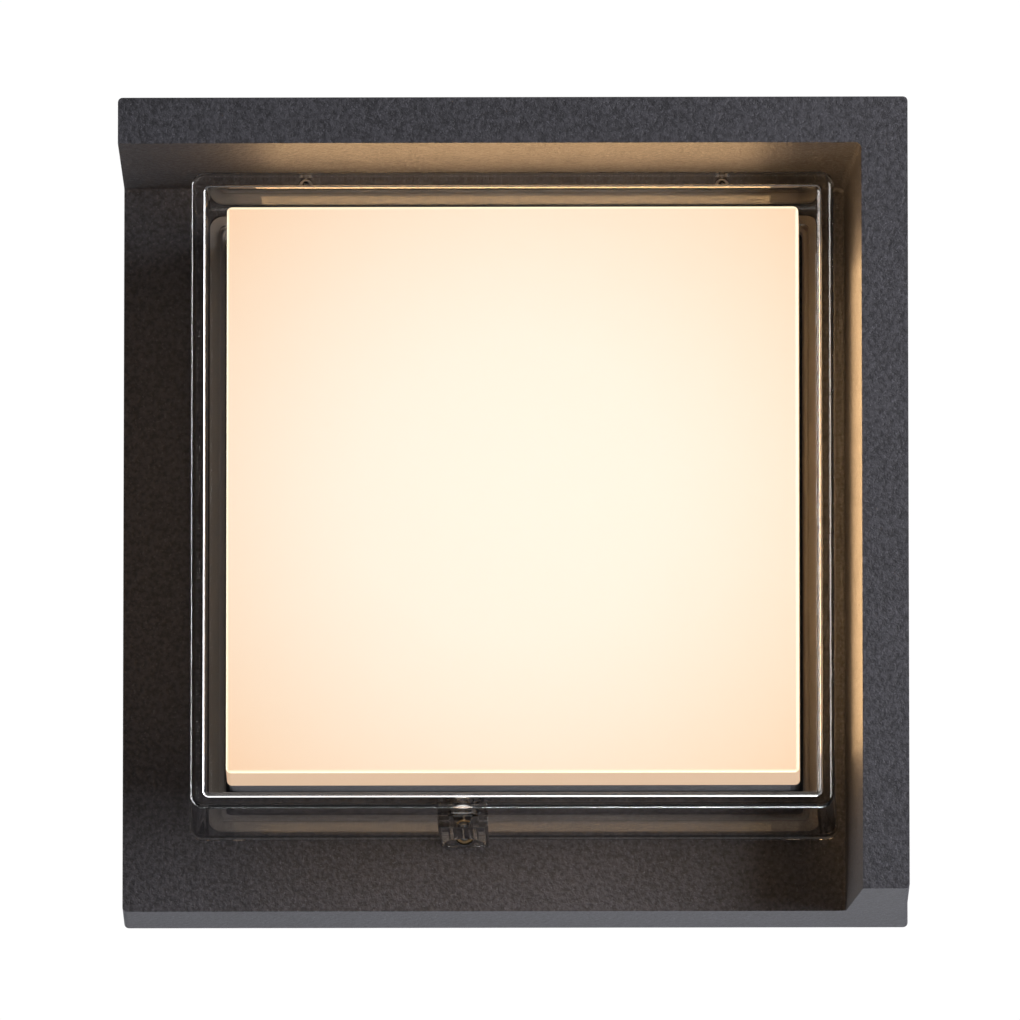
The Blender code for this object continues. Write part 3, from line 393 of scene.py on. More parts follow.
class Finish:
    """One material being wired; node() is the one way in which a node is added."""

    def __init__(self, name):
        self.material = bpy.data.materials.new(name)
        self.material.use_nodes = True
        self.tree = self.material.node_tree
        self.tree.nodes.clear()

    def node(self, kind, settings=None, values=None, out=0):
        """Add a node: its settings first, a ramp's stops among them, then its sockets' values or links."""
        made = self.tree.nodes.new(kind)
        for key, value in (settings or {}).items():
            if key == "stops":
                self.set_stops(made.color_ramp, value)
            else:
                setattr(made, key, value)
        for key, value in (values or {}).items():
            if isinstance(value, Wire):
                self.tree.links.new(value.socket, made.inputs[key])
            else:
                made.inputs[key].default_value = value
        return Wire(self, made.outputs[out]) if made.outputs else None

    @staticmethod
    def set_stops(ramp, stops):
        """Give a colour ramp exactly these (place, colour) stops."""
        while len(ramp.elements) < len(stops):
            ramp.elements.new(1.0)
        for element, (where, colour) in zip(ramp.elements, stops):
            element.position, element.color = where, (*colour, 1.0)

    def coordinates(self):
        """The piece's own Object coordinates."""
        return self.node("ShaderNodeTexCoord", out="Object")

    def noise(self, pitch, detail=3.0, roughness=0.5, where=None):
        """Noise whose blotches are about a pitch apart."""
        return self.node("ShaderNodeTexNoise", {}, {
            "Vector": where or self.coordinates(), "Scale": 1.0 / pitch, "Detail": detail,
            "Roughness": roughness})

    def stretched(self, factors):
        """Object coordinates multiplied along each axis, for a grain that runs one way."""
        return self.node("ShaderNodeMapping", {}, {"Vector": self.coordinates(), "Scale": factors})

    def axes(self):
        """The three Object coordinates as single values."""
        split = self.node("ShaderNodeSeparateXYZ", {}, {0: self.coordinates()}).socket.node
        return [Wire(self, split.outputs[axis]) for axis in range(3)]

    def blend(self, low, high, share):
        """Colour mix from low to high; sockets 0, 6 and 7 are the share and the two colours."""
        return self.node("ShaderNodeMix", {"data_type": "RGBA"}, {0: share, 6: low, 7: high}, out=2)

    def ramp(self, value, stops):
        """Colour read off a ramp."""
        return self.node("ShaderNodeValToRGB", {"stops": stops}, {0: value})

    def bump(self, height, distance, strength=1.0):
        """Normal from a height."""
        return self.node("ShaderNodeBump", {}, {"Height": height, "Distance": distance, "Strength": strength})

    def surface(self, values):
        """Principled surface with its constants and links."""
        return self.node("ShaderNodeBsdfPrincipled", {}, values)

    def done(self, shader):
        """Send the shader to the output and hand back the material."""
        self.node("ShaderNodeOutputMaterial", {}, {"Surface": shader})
        return self.material


def rgba(colour, gain=1.0):
    """Colour with its opaque alpha, brightened or darkened by a gain."""
    return (*[part * gain for part in colour][:3], 1.0)


# ------------------------------------------------------------------------------------ finishes

def powder_coat(colour, pitch):
    """Textured polyester powder coat: orange-peel grain, faint metallic flecks and a slow change of shade."""
    coat = Finish("anthracite_powder_coat")
    grain = coat.noise(pitch, 2.0, 0.55)
    fine = coat.noise(pitch * 0.4, 1.0, 0.6)
    slow = coat.noise(38 * MM, 2.0)
    flecks = coat.noise(pitch * 0.62, 1.0, 0.5).step(0.62, 0.74)
    shade = (grain * 0.68 + fine * 0.20 + slow * 0.12).step(0.34, 0.66)
    base = coat.blend(rgba(colour, 0.62), rgba(colour, 1.42), shade)
    base = coat.blend(base, rgba(colour, 2.4), flecks * 0.6)
    height = grain * 0.75 + fine * 0.25
    return coat.done(coat.surface({
        "Base Color": base,
        "Roughness": 0.50 + grain * 0.16,
        "Metallic": 0.0,
        "IOR": 1.52,
        "Normal": coat.bump(height, 0.30 * MM, 1.0),
    }))


def clear_acrylic(tint):
    """Moulded clear acrylic with slightly wavy faces, which lets light by on its way to other pieces."""
    clear = Finish("clear_acrylic")
    waves = clear.noise(16 * MM, 1.0, 0.4)
    glass = clear.surface({
        "Base Color": rgba(tint),
        "Roughness": 0.0,
        "IOR": 1.49,
        "Transmission Weight": 1.0,
        "Normal": clear.bump(waves, 0.02 * MM, 0.02),
    })
    path = clear.node("ShaderNodeLightPath").socket.node
    shadow, diffuse, glossy, mirror = (Wire(clear, path.outputs[f"Is {name} Ray"])
                                       for name in ("Shadow", "Diffuse", "Glossy", "Singular"))
    lets_light_by = shadow.larger(diffuse).larger(glossy * (1 - mirror))
    open_way = clear.node("ShaderNodeBsdfTransparent", {}, {"Color": rgba((0.92, 0.92, 0.915))})
    return clear.done(clear.node("ShaderNodeMixShader", {}, {0: lets_light_by, 1: glass, 2: open_way}))


def opal_acrylic(centre, corner, rim, low, high, edge):
    """Lit opal acrylic: brightest in the middle, warmer to the corners, with a bright line round its rim.

    The glow follows the squared distance from the middle, as a share of the squared half diagonal. The rim is
    where the point stands within the edge's round of the outline and near the front.
    """
    opal = Finish("lit_opal_acrylic")
    x, y, z = opal.axes()
    half = (high[0] - low[0]) / 2
    middle_x, middle_z = (low[0] + high[0]) / 2, (low[2] + high[2]) / 2
    across, up = (x - middle_x) / half, (z - middle_z) / half
    apart = (across * across + up * up) * 0.5
    cloud = (opal.noise(9 * MM, 2.0) - 0.5) * 0.03
    parts = np.array((centre, corner))
    near, mid = parts[0] * 0.92 + parts[1] * 0.08, parts[0] * 0.52 + parts[1] * 0.48
    glow = opal.ramp(apart + cloud, [(0.0, tuple(centre)), (0.14, tuple(near)), (0.50, tuple(mid)),
                                     (1.0, tuple(corner))])
    out = abs(across).larger(abs(up))
    front = (y * -1 - (-low[1] - edge * 1.6)) / (edge * 1.6)
    on_rim = out.step(1 - edge * 1.15 / half, 1 - edge * 0.55 / half) * front.step(0.05, 0.5)
    glow = opal.blend(rgba(corner, 0.70), glow, front.step(0.0, 0.6))
    fibre = opal.noise(0.7 * MM, 2.0)
    return opal.done(opal.surface({
        "Base Color": opal.blend(rgba((0.40, 0.36, 0.30)), rgba((0.44, 0.40, 0.34)), fibre),
        "Roughness": 0.34 + fibre * 0.08,
        "IOR": 1.49,
        "Emission Color": opal.blend(glow, rgba(rim), on_rim),
        "Emission Strength": 1.0,
        "Normal": opal.bump(fibre, 0.02 * MM, 0.3),
    }))


def metal(name, dark, light, pitch, roughness, stretch=(1.0, 1.0, 1.0)):
    """Bare metal: shade and roughness follow one grain, stretched along the way it was worked."""
    bare = Finish(name)
    grain = bare.noise(pitch, 4.0, 0.6, bare.stretched(stretch))
    dull = bare.noise(pitch * 9, 2.0)
    return bare.done(bare.surface({
        "Base Color": bare.blend(rgba(dark), rgba(light), (grain * 0.7 + dull * 0.3).step(0.25, 0.75)),
        "Metallic": 1.0,
        "Roughness": roughness + grain * 0.12 + dull * 0.08,
        "Normal": bare.bump(grain, 0.01 * MM, 0.5),
    }))


def galvanised():
    """Galvanised steel: spangles of slightly different grey and gloss, a few millimetres across."""
    zinc = Finish("galvanised_steel")
    cells = zinc.node("ShaderNodeTexVoronoi", {}, {
        "Vector": zinc.coordinates(), "Scale": 1 / (3.2 * MM), "Randomness": 1.0}, out="Color")
    shade = zinc.node("ShaderNodeSeparateColor", {}, {0: cells})
    frost = zinc.noise(0.6 * MM, 3.0)
    mix = shade * 0.7 + frost * 0.3
    return zinc.done(zinc.surface({
        "Base Color": zinc.blend(rgba((0.46, 0.48, 0.50)), rgba((0.70, 0.72, 0.74)), mix),
        "Metallic": 1.0,
        "Roughness": 0.28 + mix * 0.22,
        "Normal": zinc.bump(frost, 0.01 * MM, 0.5),
    }))


def rubber():
    """Black moulded rubber: matt, with a fine pitted skin and a little bloom."""
    skin = Finish("black_rubber")
    pits = skin.noise(0.35 * MM, 3.0)
    bloom = skin.noise(7 * MM, 3.0).step(0.45, 0.8)
    return skin.done(skin.surface({
        "Base Color": skin.blend(rgba((0.016, 0.016, 0.017)), rgba((0.040, 0.040, 0.042)),
                                 bloom * 0.6 + pits * 0.3),
        "Roughness": 0.68 + pits * 0.2,
        "Normal": skin.bump(pits, 0.03 * MM, 0.6),
    }))


def moulded(name, colour, roughness, spark=0.35 * MM):
    """Moulded plastic with a fine spark-eroded texture and a slight drift of shade."""
    plastic = Finish(name)
    texture = plastic.noise(spark, 3.0)
    drift = plastic.noise(14 * MM, 2.0)
    return plastic.done(plastic.surface({
        "Base Color": plastic.blend(rgba(colour, 0.86), rgba(colour, 1.06), texture * 0.4 + drift * 0.6),
        "Roughness": roughness + texture * 0.14,
        "Normal": plastic.bump(texture, 0.02 * MM, 0.5),
    }))


def lead_sleeve(name, colour, stripe=None):
    """Extruded lead sleeve with a satin skin; the earth lead carries a second colour in slanting bands."""
    sleeve = Finish(name)
    skin = sleeve.noise(0.5 * MM, 2.0)
    base = sleeve.blend(rgba(colour, 0.85), rgba(colour, 1.15), skin)
    if stripe:
        x, y, z = sleeve.axes()
        band = abs(((x + y + z) / (2.6 * MM)).fraction() - 0.5).step(0.20, 0.26)
        base = sleeve.blend(base, rgba(stripe), band)
    return sleeve.done(sleeve.surface({
        "Base Color": base,
        "Roughness": 0.36 + skin * 0.14,
        "Normal": sleeve.bump(skin, 0.01 * MM, 0.4),
    }))


def circuit_board():
    """Green solder mask over copper tracks that run in steps, with the cut glass weave showing faintly."""
    board = Finish("green_circuit_board")
    tracks = board.node("ShaderNodeTexBrick", {"offset": 0.5}, {
        "Vector": board.coordinates(), "Scale": 1 / (9 * MM), "Mortar Size": 0.045,
        "Brick Width": 0.6, "Row Height": 0.22}, out="Fac")
    weave = board.noise(0.4 * MM, 2.0)
    mask = board.blend(rgba((0.012, 0.105, 0.045)), rgba((0.020, 0.150, 0.065)), weave)
    return board.done(board.surface({
        "Base Color": board.blend(mask, rgba((0.10, 0.30, 0.10)), tracks),
        "Roughness": 0.32 + weave * 0.12,
        "Normal": board.bump(tracks, 0.03 * MM, 0.6),
    }))


def led_board(front):
    """White solder mask with a yellow lens on each of the sixteen emitters and pale copper pads beside them.

    The emitters stand at a fixed pitch, so a point's place within its cell is the fraction of its
    coordinate over the pitch, and its distance from the cell's middle gives the lens.
    """
    board = Finish("white_led_board")
    x, y, z = board.axes()
    cell_x, cell_z = (((way / LED_PITCH + 10.0).fraction() - 0.5) * LED_PITCH for way in (x, z))
    away = (cell_x * cell_x + cell_z * cell_z) ** 0.5
    lens = 1 - away.step(1.15 * MM, 1.35 * MM)
    pad = (1 - abs(cell_x).step(2.9 * MM, 3.0 * MM)) * (1 - abs(cell_z).step(1.3 * MM, 1.4 * MM))
    raised = (y * -1).step(front - 1.2 * MM, front - 0.9 * MM)
    print_grain = board.noise(0.5 * MM, 2.0)
    base = board.blend(rgba((0.74, 0.74, 0.70)), rgba((0.84, 0.84, 0.80)), print_grain)
    base = board.blend(base, rgba((0.62, 0.60, 0.50)), pad * (1 - raised))
    base = board.blend(base, rgba((0.86, 0.62, 0.08)), lens * raised)
    return board.done(board.surface({
        "Base Color": base,
        "Roughness": 0.34 + print_grain * 0.12,
        "Normal": board.bump(print_grain, 0.01 * MM, 0.4),
    }))


def finish_for(slot, context):
    """The material of one of the record's material slots."""
    colours, sizes = context.scene.lantern_finishes, context.scene.lantern_sizes
    makers = {
        "powder_coat": lambda: powder_coat(colours.coat, sizes.grain_pitch),
        "galvanised_bracket": galvanised,
        "stainless": lambda: metal("stainless_steel", (0.42, 0.42, 0.43), (0.62, 0.62, 0.63), 0.5 * MM, 0.20,
                                   (1.0, 1.0, 4.0)),
        "brass": lambda: metal("turned_brass", (0.46, 0.36, 0.20), (0.66, 0.54, 0.33), 0.5 * MM, 0.26),
        "mill_aluminium": lambda: metal("mill_aluminium", (0.62, 0.63, 0.64), (0.80, 0.81, 0.82), 0.5 * MM,
                                        0.30, (1.0, 1.0, 0.06)),
        "black_rubber": rubber,
        "grey_silicone": lambda: moulded("pale_grey_silicone", (0.52, 0.47, 0.43), 0.50, 0.4 * MM),
        "white_plastic": lambda: moulded("white_plastic", (0.80, 0.80, 0.77), 0.36),
        "black_plastic": lambda: moulded("black_plastic", (0.022, 0.022, 0.023), 0.42),
        "grey_nylon": lambda: moulded("grey_nylon", (0.42, 0.43, 0.44), 0.46),
        "thermal_pad": lambda: moulded("grey_silicone_pad", (0.28, 0.30, 0.32), 0.66, 0.6 * MM),
        "circuit_board": circuit_board,
        "led_board": lambda: led_board(-span("led_board")[0][1]),
        "lead_brown": lambda: lead_sleeve("brown_sleeve", (0.13, 0.055, 0.022)),
        "lead_blue": lambda: lead_sleeve("blue_sleeve", (0.03, 0.10, 0.38)),
        "lead_green": lambda: lead_sleeve("earth_sleeve", (0.07, 0.26, 0.04), (0.78, 0.66, 0.05)),
        "lead_red": lambda: lead_sleeve("red_sleeve", (0.46, 0.025, 0.018)),
        "lead_black": lambda: lead_sleeve("black_sleeve", (0.02, 0.02, 0.02)),
    }
    return makers[slot]()


def dress(slots, context):
    """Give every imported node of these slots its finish, one material a slot."""
    for slot in slots:
        material = finish_for(slot, context)
        for node, named in SLOT_OF.items():
            if named == slot:
                for holder in frame["nodes"][node].material_slots:
                    holder.material = material


# ------------------------------------------------------------------------------------ operators

class LANTERN_OT_body(bpy.types.Operator):
    """Give the die-cast body its textured powder coat"""
    bl_idname = "lantern.body"
    bl_label = "Cast body"

    def execute(self, context):
        dress(["powder_coat"], context)
        return {"FINISHED"}


class LANTERN_OT_rear(bpy.types.Operator):
    """Finish the wall bracket, rear lid, seals and plugs behind the body"""
    bl_idname = "lantern.rear"
    bl_label = "Bracket, lid and seals"

    def execute(self, context):
        dress(["galvanised_bracket", "mill_aluminium", "black_rubber", "grey_silicone",
               "black_plastic"], context)
        return {"FINISHED"}


class LANTERN_OT_electrics(bpy.types.Operator):
    """Finish the driver, terminals, leads, LED board and reflector"""
    bl_idname = "lantern.electrics"
    bl_label = "Electrical parts"

    def execute(self, context):
        dress(["white_plastic", "grey_nylon", "thermal_pad", "circuit_board", "led_board", "brass",
               "lead_brown", "lead_blue", "lead_green", "lead_red", "lead_black"], context)
        return {"FINISHED"}


class LANTERN_OT_screws(bpy.types.Operator):
    """Turn the stainless screws that show, with threads and hexagon sockets, and finish the clips"""
    bl_idname = "lantern.screws"
    bl_label = "Stainless screws and clips"

    def execute(self, context):
        dress(["stainless"], context)
        steel = finish_for("stainless", context)
        pitch = context.scene.lantern_sizes.thread_pitch
        for number in range(1, 5):
            low, high = span(f"lid_screw_{number}")
            head = pan_head((high[0] - low[0]) / 2, LID_HEAD_RISE)
            rows = screw_profile(LID_SHANK, high[1] - low[1] - LID_HEAD_RISE, head, pitch)
            middle = (low + high) / 2
            at = (middle[0], high[1] - LID_HEAD_RISE, middle[2])
            self.fit(f"lid_screw_{number}", rows, (0, 1, 0), at, "lamp", steel, pitch)
        for node, side in (("bracket_screw_left", -1), ("bracket_screw_right", 1)):
            low, high = span(node)
            middle = (low + high) / 2
            outer = high[0] if side > 0 else low[0]
            shank = screw_profile(BRACKET_SHANK, high[0] - low[0], [], pitch)
            rows = [row for row in shank if row[1] < -2.0 * MM]
            rows += sunk_head((high[2] - low[2]) / 2, BRACKET_SHANK)
            self.fit(node, rows, (side, 0, 0), (outer, middle[1], middle[2]), "lamp", steel, pitch)
        low, high = span("cover_lock_screw")
        middle, head = (low + high) / 2, pan_head((high[0] - low[0]) / 2, LOCK_HEAD_RISE)
        rows = screw_profile(LOCK_SHANK, high[1] - low[1] - LOCK_HEAD_RISE, head, pitch)
        at = (middle[0], low[1] + LOCK_HEAD_RISE, middle[2])
        self.fit("cover_lock_screw", rows, (0, -1, 0), at, "lock_screw", steel, pitch)
        return {"FINISHED"}

    @staticmethod
    def fit(node, rows, axis, at, body, steel, pitch):
        """Turn one screw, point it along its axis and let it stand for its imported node."""
        points = along(turned(rows, SCREW_COLUMNS, pitch, THREAD_DEPTH), axis, at)
        piece = place(f"{node}_turned", mesh_from_grid(f"{node}_turned", points, SCREW_SMOOTH_ANGLE), steel)
        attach(piece, body)
        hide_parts(node)


class LANTERN_OT_diffuser(bpy.types.Operator):
    """Mould the opal tray that spreads the light"""
    bl_idname = "lantern.diffuser"
    bl_label = "Opal diffuser"

    def execute(self, context):
        sizes, colours = context.scene.lantern_sizes, context.scene.lantern_finishes
        low, high = span("opal_diffuser")
        half, rear, front = (high[0] - low[0]) / 2, -high[1], -low[1]
        wall, edge, corner = sizes.diffuser_wall, sizes.diffuser_round, sizes.diffuser_corner
        face, inner, inside = half - DIFFUSER_DRAFT, front - wall, corner * 0.8
        rows = [(face - wall - 0.9 * MM,) * 2 + (inside * 0.3, inner)]
        rows += list(quarter((face - wall,) * 2, inner, DIFFUSER_FILLET, inside, 6, outward=False))
        rows += [(half - wall,) * 2 + (inside, rear + 0.3 * MM),
                 (half - wall + 0.3 * MM,) * 2 + (inside, rear),
                 (half - 0.25 * MM,) * 2 + (corner - 0.2 * MM, rear),
                 (half,) * 2 + (corner, rear + 0.25 * MM)]
        rows += list(quarter((face,) * 2, front, edge, corner, 10))
        rows += [(face - edge - 0.2 * MM,) * 2 + ((corner - edge) * 0.5, front)]
        points = box_surface(rows, 14, ((low[0] + high[0]) / 2, (low[2] + high[2]) / 2))
        material = opal_acrylic(colours.glow_centre, colours.glow_corner, colours.glow_rim, low, high, edge)
        piece = place("opal_diffuser_tray", mesh_from_grid("opal_diffuser_tray", points), material)
        even_shading(piece)
        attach(piece, "lamp")
        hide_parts("opal_diffuser")
        return {"FINISHED"}


class LANTERN_OT_cover(bpy.types.Operator):
    """Mould the clear box cover with its foot, rib, screw channel and grip pegs"""
    bl_idname = "lantern.cover"
    bl_label = "Clear cover"

    def execute(self, context):
        material = clear_acrylic(context.scene.lantern_finishes.acrylic)
        piece = place("clear_cover_box", self.shell(context.scene.lantern_sizes), material)
        carve(piece, self.details())
        even_shading(piece)
        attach(piece, "cover")
        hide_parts("clear_cover")
        return {"FINISHED"}

    @staticmethod
    def shell(sizes):
        """Open box from the inside of its front, round its foot, to the rounded outer front edge."""
        low, high = span("clear_cover")
        rim, front = high[0], -low[1]
        rear, side, face = front - COVER_DEPTH, rim - FOOT_LIP, rim - FRONT_DRAFT
        wall, fillet = sizes.cover_wall, sizes.cover_fillet
        corner, edge = sizes.cover_corner, sizes.cover_round
        inner, foot = front - wall, rear + FOOT_HEIGHT
        rows = [(face - wall - fillet - 0.3 * MM,) * 2 + (0.1 * MM, inner)]
        rows += list(quarter((face - wall,) * 2, inner, fillet, fillet + 0.2 * MM, 12, outward=False))
        rows += [(side - wall,) * 2 + (1.6 * MM, foot + 0.3 * MM),
                 (side - wall - 0.3 * MM,) * 2 + (1.5 * MM, foot),
                 (FOOT_OPENING,) * 2 + (1.2 * MM, foot), (FOOT_OPENING,) * 2 + (1.2 * MM, rear),
                 (rim - 0.2 * MM,) * 2 + (corner - 0.2 * MM, rear), (rim,) * 2 + (corner, rear + 0.2 * MM),
                 (rim,) * 2 + (corner, rear + 1.3 * MM), (side,) * 2 + (corner - 0.3 * MM, rear + 1.7 * MM)]
        rows += list(quarter((face, face), front, edge, corner, 12))
        rows += [(face - edge - 0.3 * MM,) * 2 + (corner - edge - 0.2 * MM, front)]
        return mesh_from_grid("clear_cover_box", box_surface(rows, 16))

    @staticmethod
    def details():
        """Rib, pad and pegs to unite with the cover, then the arch, driver channel and screw's hole to cut.

        The arch narrows along the rib as a half ellipse: half width * sqrt(1 - share ** 2) of its length.
        """
        low, high = span("clear_cover")
        screw_low, screw_high = span("cover_lock_screw")
        x, z = (screw_low[0] + screw_high[0]) / 2, (screw_low[2] + screw_high[2]) / 2
        rear = -low[1] - COVER_DEPTH
        front = rear + RIB_LENGTH
        tall = (RIB_TOP - low[2]) / 2
        middle = (x, low[2] + tall)
        rib = [(RIB_HALF, tall, 0.9 * MM, rear + 0.05 * MM), (RIB_HALF, tall, 0.9 * MM, front - 0.3 * MM),
               (RIB_HALF - 0.1 * MM, tall - 0.1 * MM, 0.85 * MM, front - 0.1 * MM),
               (RIB_HALF - 0.3 * MM, tall - 0.3 * MM, 0.8 * MM, front)]
        pad = [(PAD_HALF, PAD_THICK, 0.4 * MM, depth) for depth in (rear + 1.0 * MM, front)]
        shapes = [(mesh_from_grid("rib", box_surface(rib, 6, middle)), "UNION"),
                  (mesh_from_grid("pad", box_surface(pad, 3, (x, PAD_AT))), "UNION")]
        for peg_x in (-PEG_X, PEG_X):
            peg = turned([(PEG_RADIUS - 0.25 * MM, -PEG_REACH, "round"),
                          (PEG_RADIUS, 0.3 * MM - PEG_REACH, "round"), (PEG_RADIUS, 0.9 * MM, "round")], 20)
            shapes.append((mesh_from_grid("peg", along(peg, (0, -1, 0), (peg_x, -rear, PEG_Z))), "UNION"))
        share = np.linspace(0, 0.96, 13)
        half = ARCH_HALF * np.sqrt(1 - share ** 2)
        arch = np.stack((half, half * 0 + 1.6 * MM, np.minimum(0.3 * MM, half * 0.9),
                         rear + ARCH_START + ARCH_LENGTH * share), axis=-1)
        shapes.append((mesh_from_grid("arch", box_surface(arch, 2, (x, low[2] - 0.1 * MM))), "DIFFERENCE"))
        for radius, start, end, columns in ((CHANNEL_RADIUS, 5.0 * MM, RIB_LENGTH + 0.6 * MM, 40),
                                            (HOLE_RADIUS, -1.0 * MM, 6.0 * MM, 28)):
            drill = turned([(radius, start, "round"), (radius, end, "round")], columns)
            shapes.append((mesh_from_grid("drill", along(drill, (0, -1, 0), (x, -rear, z))), "DIFFERENCE"))
        return shapes


class LANTERN_OT_seal(bpy.types.Operator):
    """Mould the grey seal that the cover presses on, with the bead that shows inside its foot"""
    bl_idname = "lantern.seal"
    bl_label = "Cover seal"

    def execute(self, context):
        low, high = span("cover_gasket")
        outer, plate = high[0], -low[1] - 0.2 * MM
        section = np.array([
            (outer, -0.9), (outer, 0.2), (SEAL_BEAD + 0.25 * MM, 0.2), (SEAL_BEAD, 0.35),
            (SEAL_BEAD - 0.1 * MM, 1.2), (SEAL_BEAD - 0.45 * MM, 1.6), (SEAL_BEAD - 1.05 * MM, 1.6),
            (SEAL_BEAD - 1.4 * MM, 1.25), (SEAL_BEAD - 1.45 * MM, 0.03), (SEAL_GROOVE - 0.15 * MM, 0.03),
            (SEAL_GROOVE, -0.05), (SEAL_GROOVE, -0.9)])
        half, rise = section.T
        rows = np.stack((half, half, 3.0 * MM - (outer - half) * 0.5, plate + rise * MM), axis=-1)
        mesh = mesh_from_grid("cover_seal_bead", box_surface(rows, 10), ring=True)
        piece = place("cover_seal_bead", mesh, finish_for(SLOT_OF["cover_gasket"], context))
        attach(piece, "lamp")
        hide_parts("cover_gasket")
        return {"FINISHED"}


class LANTERN_OT_stage(bpy.types.Operator):
    """Set the pale floor, the soft studio light, the lamp's own spill and the camera"""
    bl_idname = "lantern.stage"
    bl_label = "Stage"

    def execute(self, context):
        self.floor(context)
        self.surroundings(context)
        self.lights()
        self.camera(context)
        context.scene.view_settings.view_transform = "Standard"
        return {"FINISHED"}

    @staticmethod
    def floor(context):
        """Pale floor, far enough below the light to leave every side open and to throw nothing back at it."""
        colour = context.scene.lantern_finishes.studio
        paint = Finish("pale_floor")
        speckle = paint.noise(60 * MM, 3.0)
        material = paint.done(paint.surface({
            "Base Color": paint.blend(rgba(colour, 0.98), rgba(colour, 1.02), speckle), "Roughness": 0.9,
            "Emission Color": paint.blend(rgba(colour, 0.80), rgba(colour, 0.82), speckle),
            "Emission Strength": 1.0}))
        corners = [(x, y, FLOOR_LEVEL) for x, y in ((-FLOOR_HALF, -FLOOR_HALF), (FLOOR_HALF, -FLOOR_HALF),
                                                    (FLOOR_HALF, FLOOR_HALF), (-FLOOR_HALF, FLOOR_HALF))]
        mesh = bpy.data.meshes.new("studio_floor")
        mesh.from_pydata(corners, [], [(0, 1, 2, 3)])
        ground = place("studio_floor", mesh, material)
        ground.visible_diffuse = ground.visible_glossy = ground.visible_shadow = False

    @staticmethod
    def surroundings(context):
        """Backdrop that the camera sees as white, and a dim room that lights the object, dimmest in front."""
        world = bpy.data.worlds.new("studio")
        context.scene.world = world
        world.use_nodes = True
        tree = world.node_tree
        tree.nodes.clear()

        def add(kind, settings=None, values=None):
            made = tree.nodes.new(kind)
            for key, value in (settings or {}).items():
                setattr(made, key, value)
            for key, value in (values or {}).items():
                if isinstance(value, bpy.types.NodeSocket):
                    tree.links.new(value, made.inputs[key])
                else:
                    made.inputs[key].default_value = value
            return made.outputs

        way = add("ShaderNodeSeparateXYZ", {}, {0: add("ShaderNodeTexCoord")["Generated"]})["Y"]
        room = add("ShaderNodeMapRange", {"interpolation_type": "SMOOTHSTEP"}, {
            "Value": way, "From Min": -0.45, "From Max": -0.02,
            "To Min": ROOM_FRONT, "To Max": ROOM_BACK})["Result"]
        seen = add("ShaderNodeBackground", {}, {"Color": (1, 1, 1, 1), "Strength": BACKDROP})[0]
        unseen = add("ShaderNodeBackground", {}, {"Color": (*COOL, 1), "Strength": room})[0]
        camera_ray = add("ShaderNodeLightPath")["Is Camera Ray"]
        mixed = add("ShaderNodeMixShader", {}, {0: camera_ray, 1: unseen, 2: seen})[0]
        add("ShaderNodeOutputWorld", {}, {0: mixed})

    @staticmethod
    def lights():
        """Soft boxes in front and below, strips that draw light along edges, and the lamp's own warm spill.

        A strip doesn't light matt surfaces. A spill panel lies just off a side of the diffuser or the cover,
        stands for the light that the lamp throws that way, and isn't seen through the clear cover.
        """
        def panel(name, at, aim, size, power, colour, seen_through=True, lights_matt=True):
            light = bpy.data.lights.new(name, "AREA")
            light.shape, light.size, light.size_y = "RECTANGLE", size[0], size[1]
            light.energy, light.color = power, colour
            holder = bpy.data.objects.new(name, light)
            holder.location = at
            holder.rotation_euler = (Vector(aim) - Vector(at)).to_track_quat("-Z", "Y").to_euler()
            holder.visible_camera = False
            holder.visible_transmission, holder.visible_diffuse = seen_through, lights_matt
            bpy.context.collection.objects.link(holder)

        for name, at, size, power, colour in (
                ("key_softbox", (0.62, -0.66, 0.06), (0.40, 0.50), 6.1, (1.0, 0.985, 1.0)),
                ("fill_softbox", (-0.9, -1.1, 0.9), (0.8, 0.8), 2.0, PALE),
                ("low_softbox", (0.1, -0.35, -0.9), (1.2, 0.9), 1.0, COOL),
                ("rear_softbox", (0.1, 0.35, -0.9), (0.2, 0.3), 4.4, COOL)):
            panel(name, at, LIGHTS_AIM, size, power, colour)
        for name, at, size, power in (("edge_strip_left", (-0.9, 0.26, 0), (0.24, 1.5), 17.0),
                                      ("edge_strip_right", (0.9, 0.26, 0), (0.24, 1.5), 12.0),
                                      ("edge_strip_below", (0, 0.26, -0.9), (1.5, 0.24), 4.0)):
            panel(name, at, LIGHTS_AIM, size, power, STRIP, lights_matt=False)
        low, high = span("opal_diffuser")
        along_sides = ((low[1] + high[1]) / 2, (high[1] - low[1]) * 0.8)
        for piece, share, (depth, deep), powers in (
                ("opal_diffuser", 0.90, along_sides, DIFFUSER_POWERS),
                ("clear_cover", 0.76, COVER_SPILL, COVER_POWERS)):
            low, high = span(piece)
            wide = (high[0] - low[0]) * share
            x, z = (low[0] + high[0]) / 2, (low[2] + high[2]) / 2
            for name, power, at, way, size in (
                    ("up", powers[0], (x, depth, high[2] + SPILL_OFF), (0, 0, 1), (wide, deep)),
                    ("down", powers[1], (x, depth, low[2] - SPILL_OFF), (0, 0, -1), (wide, deep)),
                    ("right", powers[2], (high[0] + SPILL_OFF, depth, z), (1, 0, 0), (deep, wide)),
                    ("left", powers[3], (low[0] - SPILL_OFF, depth, z), (-1, 0, 0), (deep, wide))):
                if power:
                    aim = Vector(at) + Vector(way)
                    panel(f"{piece}_spill_{name}", at, aim, size, power, WARM, seen_through=False)

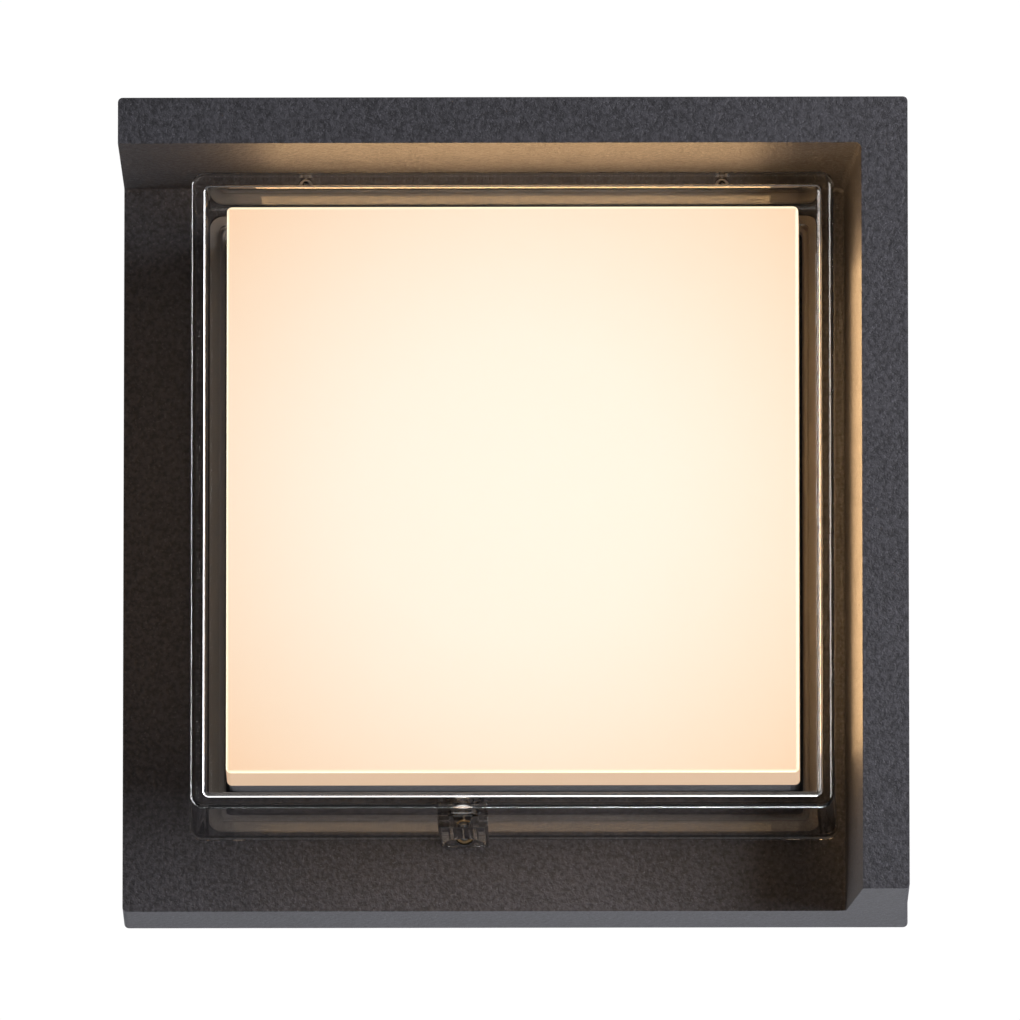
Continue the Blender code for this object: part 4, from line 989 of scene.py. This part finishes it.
    @staticmethod
    def camera(context):
        """Long lens a little below the light and barely to its right, looking up."""
        lens = bpy.data.cameras.new("view")
        lens.lens, lens.sensor_width = CAMERA_LENS, CAMERA_SENSOR
        eye = bpy.data.objects.new("view", lens)
        level = math.cos(CAMERA_LIFT)
        way = Vector((math.sin(CAMERA_SWING) * level, -math.cos(CAMERA_SWING) * level, math.sin(CAMERA_LIFT)))
        eye.location = Vector(CAMERA_AIM) + CAMERA_AWAY * way
        eye.rotation_euler = (-way).to_track_quat("-Z", "Y").to_euler()
        context.collection.objects.link(eye)
        context.scene.camera = eye


class LANTERN_PT_pieces(bpy.types.Panel):
    """Lists the lantern's pieces, sizes and colours"""
    bl_idname = "LANTERN_PT_pieces"
    bl_label = "Wall lantern"
    bl_space_type = "VIEW_3D"
    bl_region_type = "UI"
    bl_category = "Lantern"

    def draw(self, context):
        for operator in OPERATORS:
            self.layout.operator(operator.bl_idname)
        for group in (context.scene.lantern_sizes, context.scene.lantern_finishes):
            box = self.layout.box()
            for name in group.__annotations__:
                box.prop(group, name)


OPERATORS = (LANTERN_OT_body, LANTERN_OT_rear, LANTERN_OT_electrics, LANTERN_OT_screws, LANTERN_OT_diffuser,
             LANTERN_OT_cover, LANTERN_OT_seal, LANTERN_OT_stage)
CLASSES = (LanternSizes, LanternFinishes, *OPERATORS, LANTERN_PT_pieces)


def register():
    """Register the classes and hang the two property groups on the scene."""
    for cls in CLASSES:
        bpy.utils.register_class(cls)
    bpy.types.Scene.lantern_sizes = bpy.props.PointerProperty(type=LanternSizes)
    bpy.types.Scene.lantern_finishes = bpy.props.PointerProperty(type=LanternFinishes)


def unregister():
    """Take the property groups and classes away again."""
    del bpy.types.Scene.lantern_finishes
    del bpy.types.Scene.lantern_sizes
    for cls in reversed(CLASSES):
        bpy.utils.unregister_class(cls)


def main():
    """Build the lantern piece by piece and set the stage."""
    register()
    bpy.ops.lantern.body()
    bpy.ops.lantern.rear()
    bpy.ops.lantern.electrics()
    bpy.ops.lantern.screws()
    bpy.ops.lantern.diffuser()
    bpy.ops.lantern.cover()
    bpy.ops.lantern.seal()
    bpy.ops.lantern.stage()


if __name__ == "__main__":
    main()
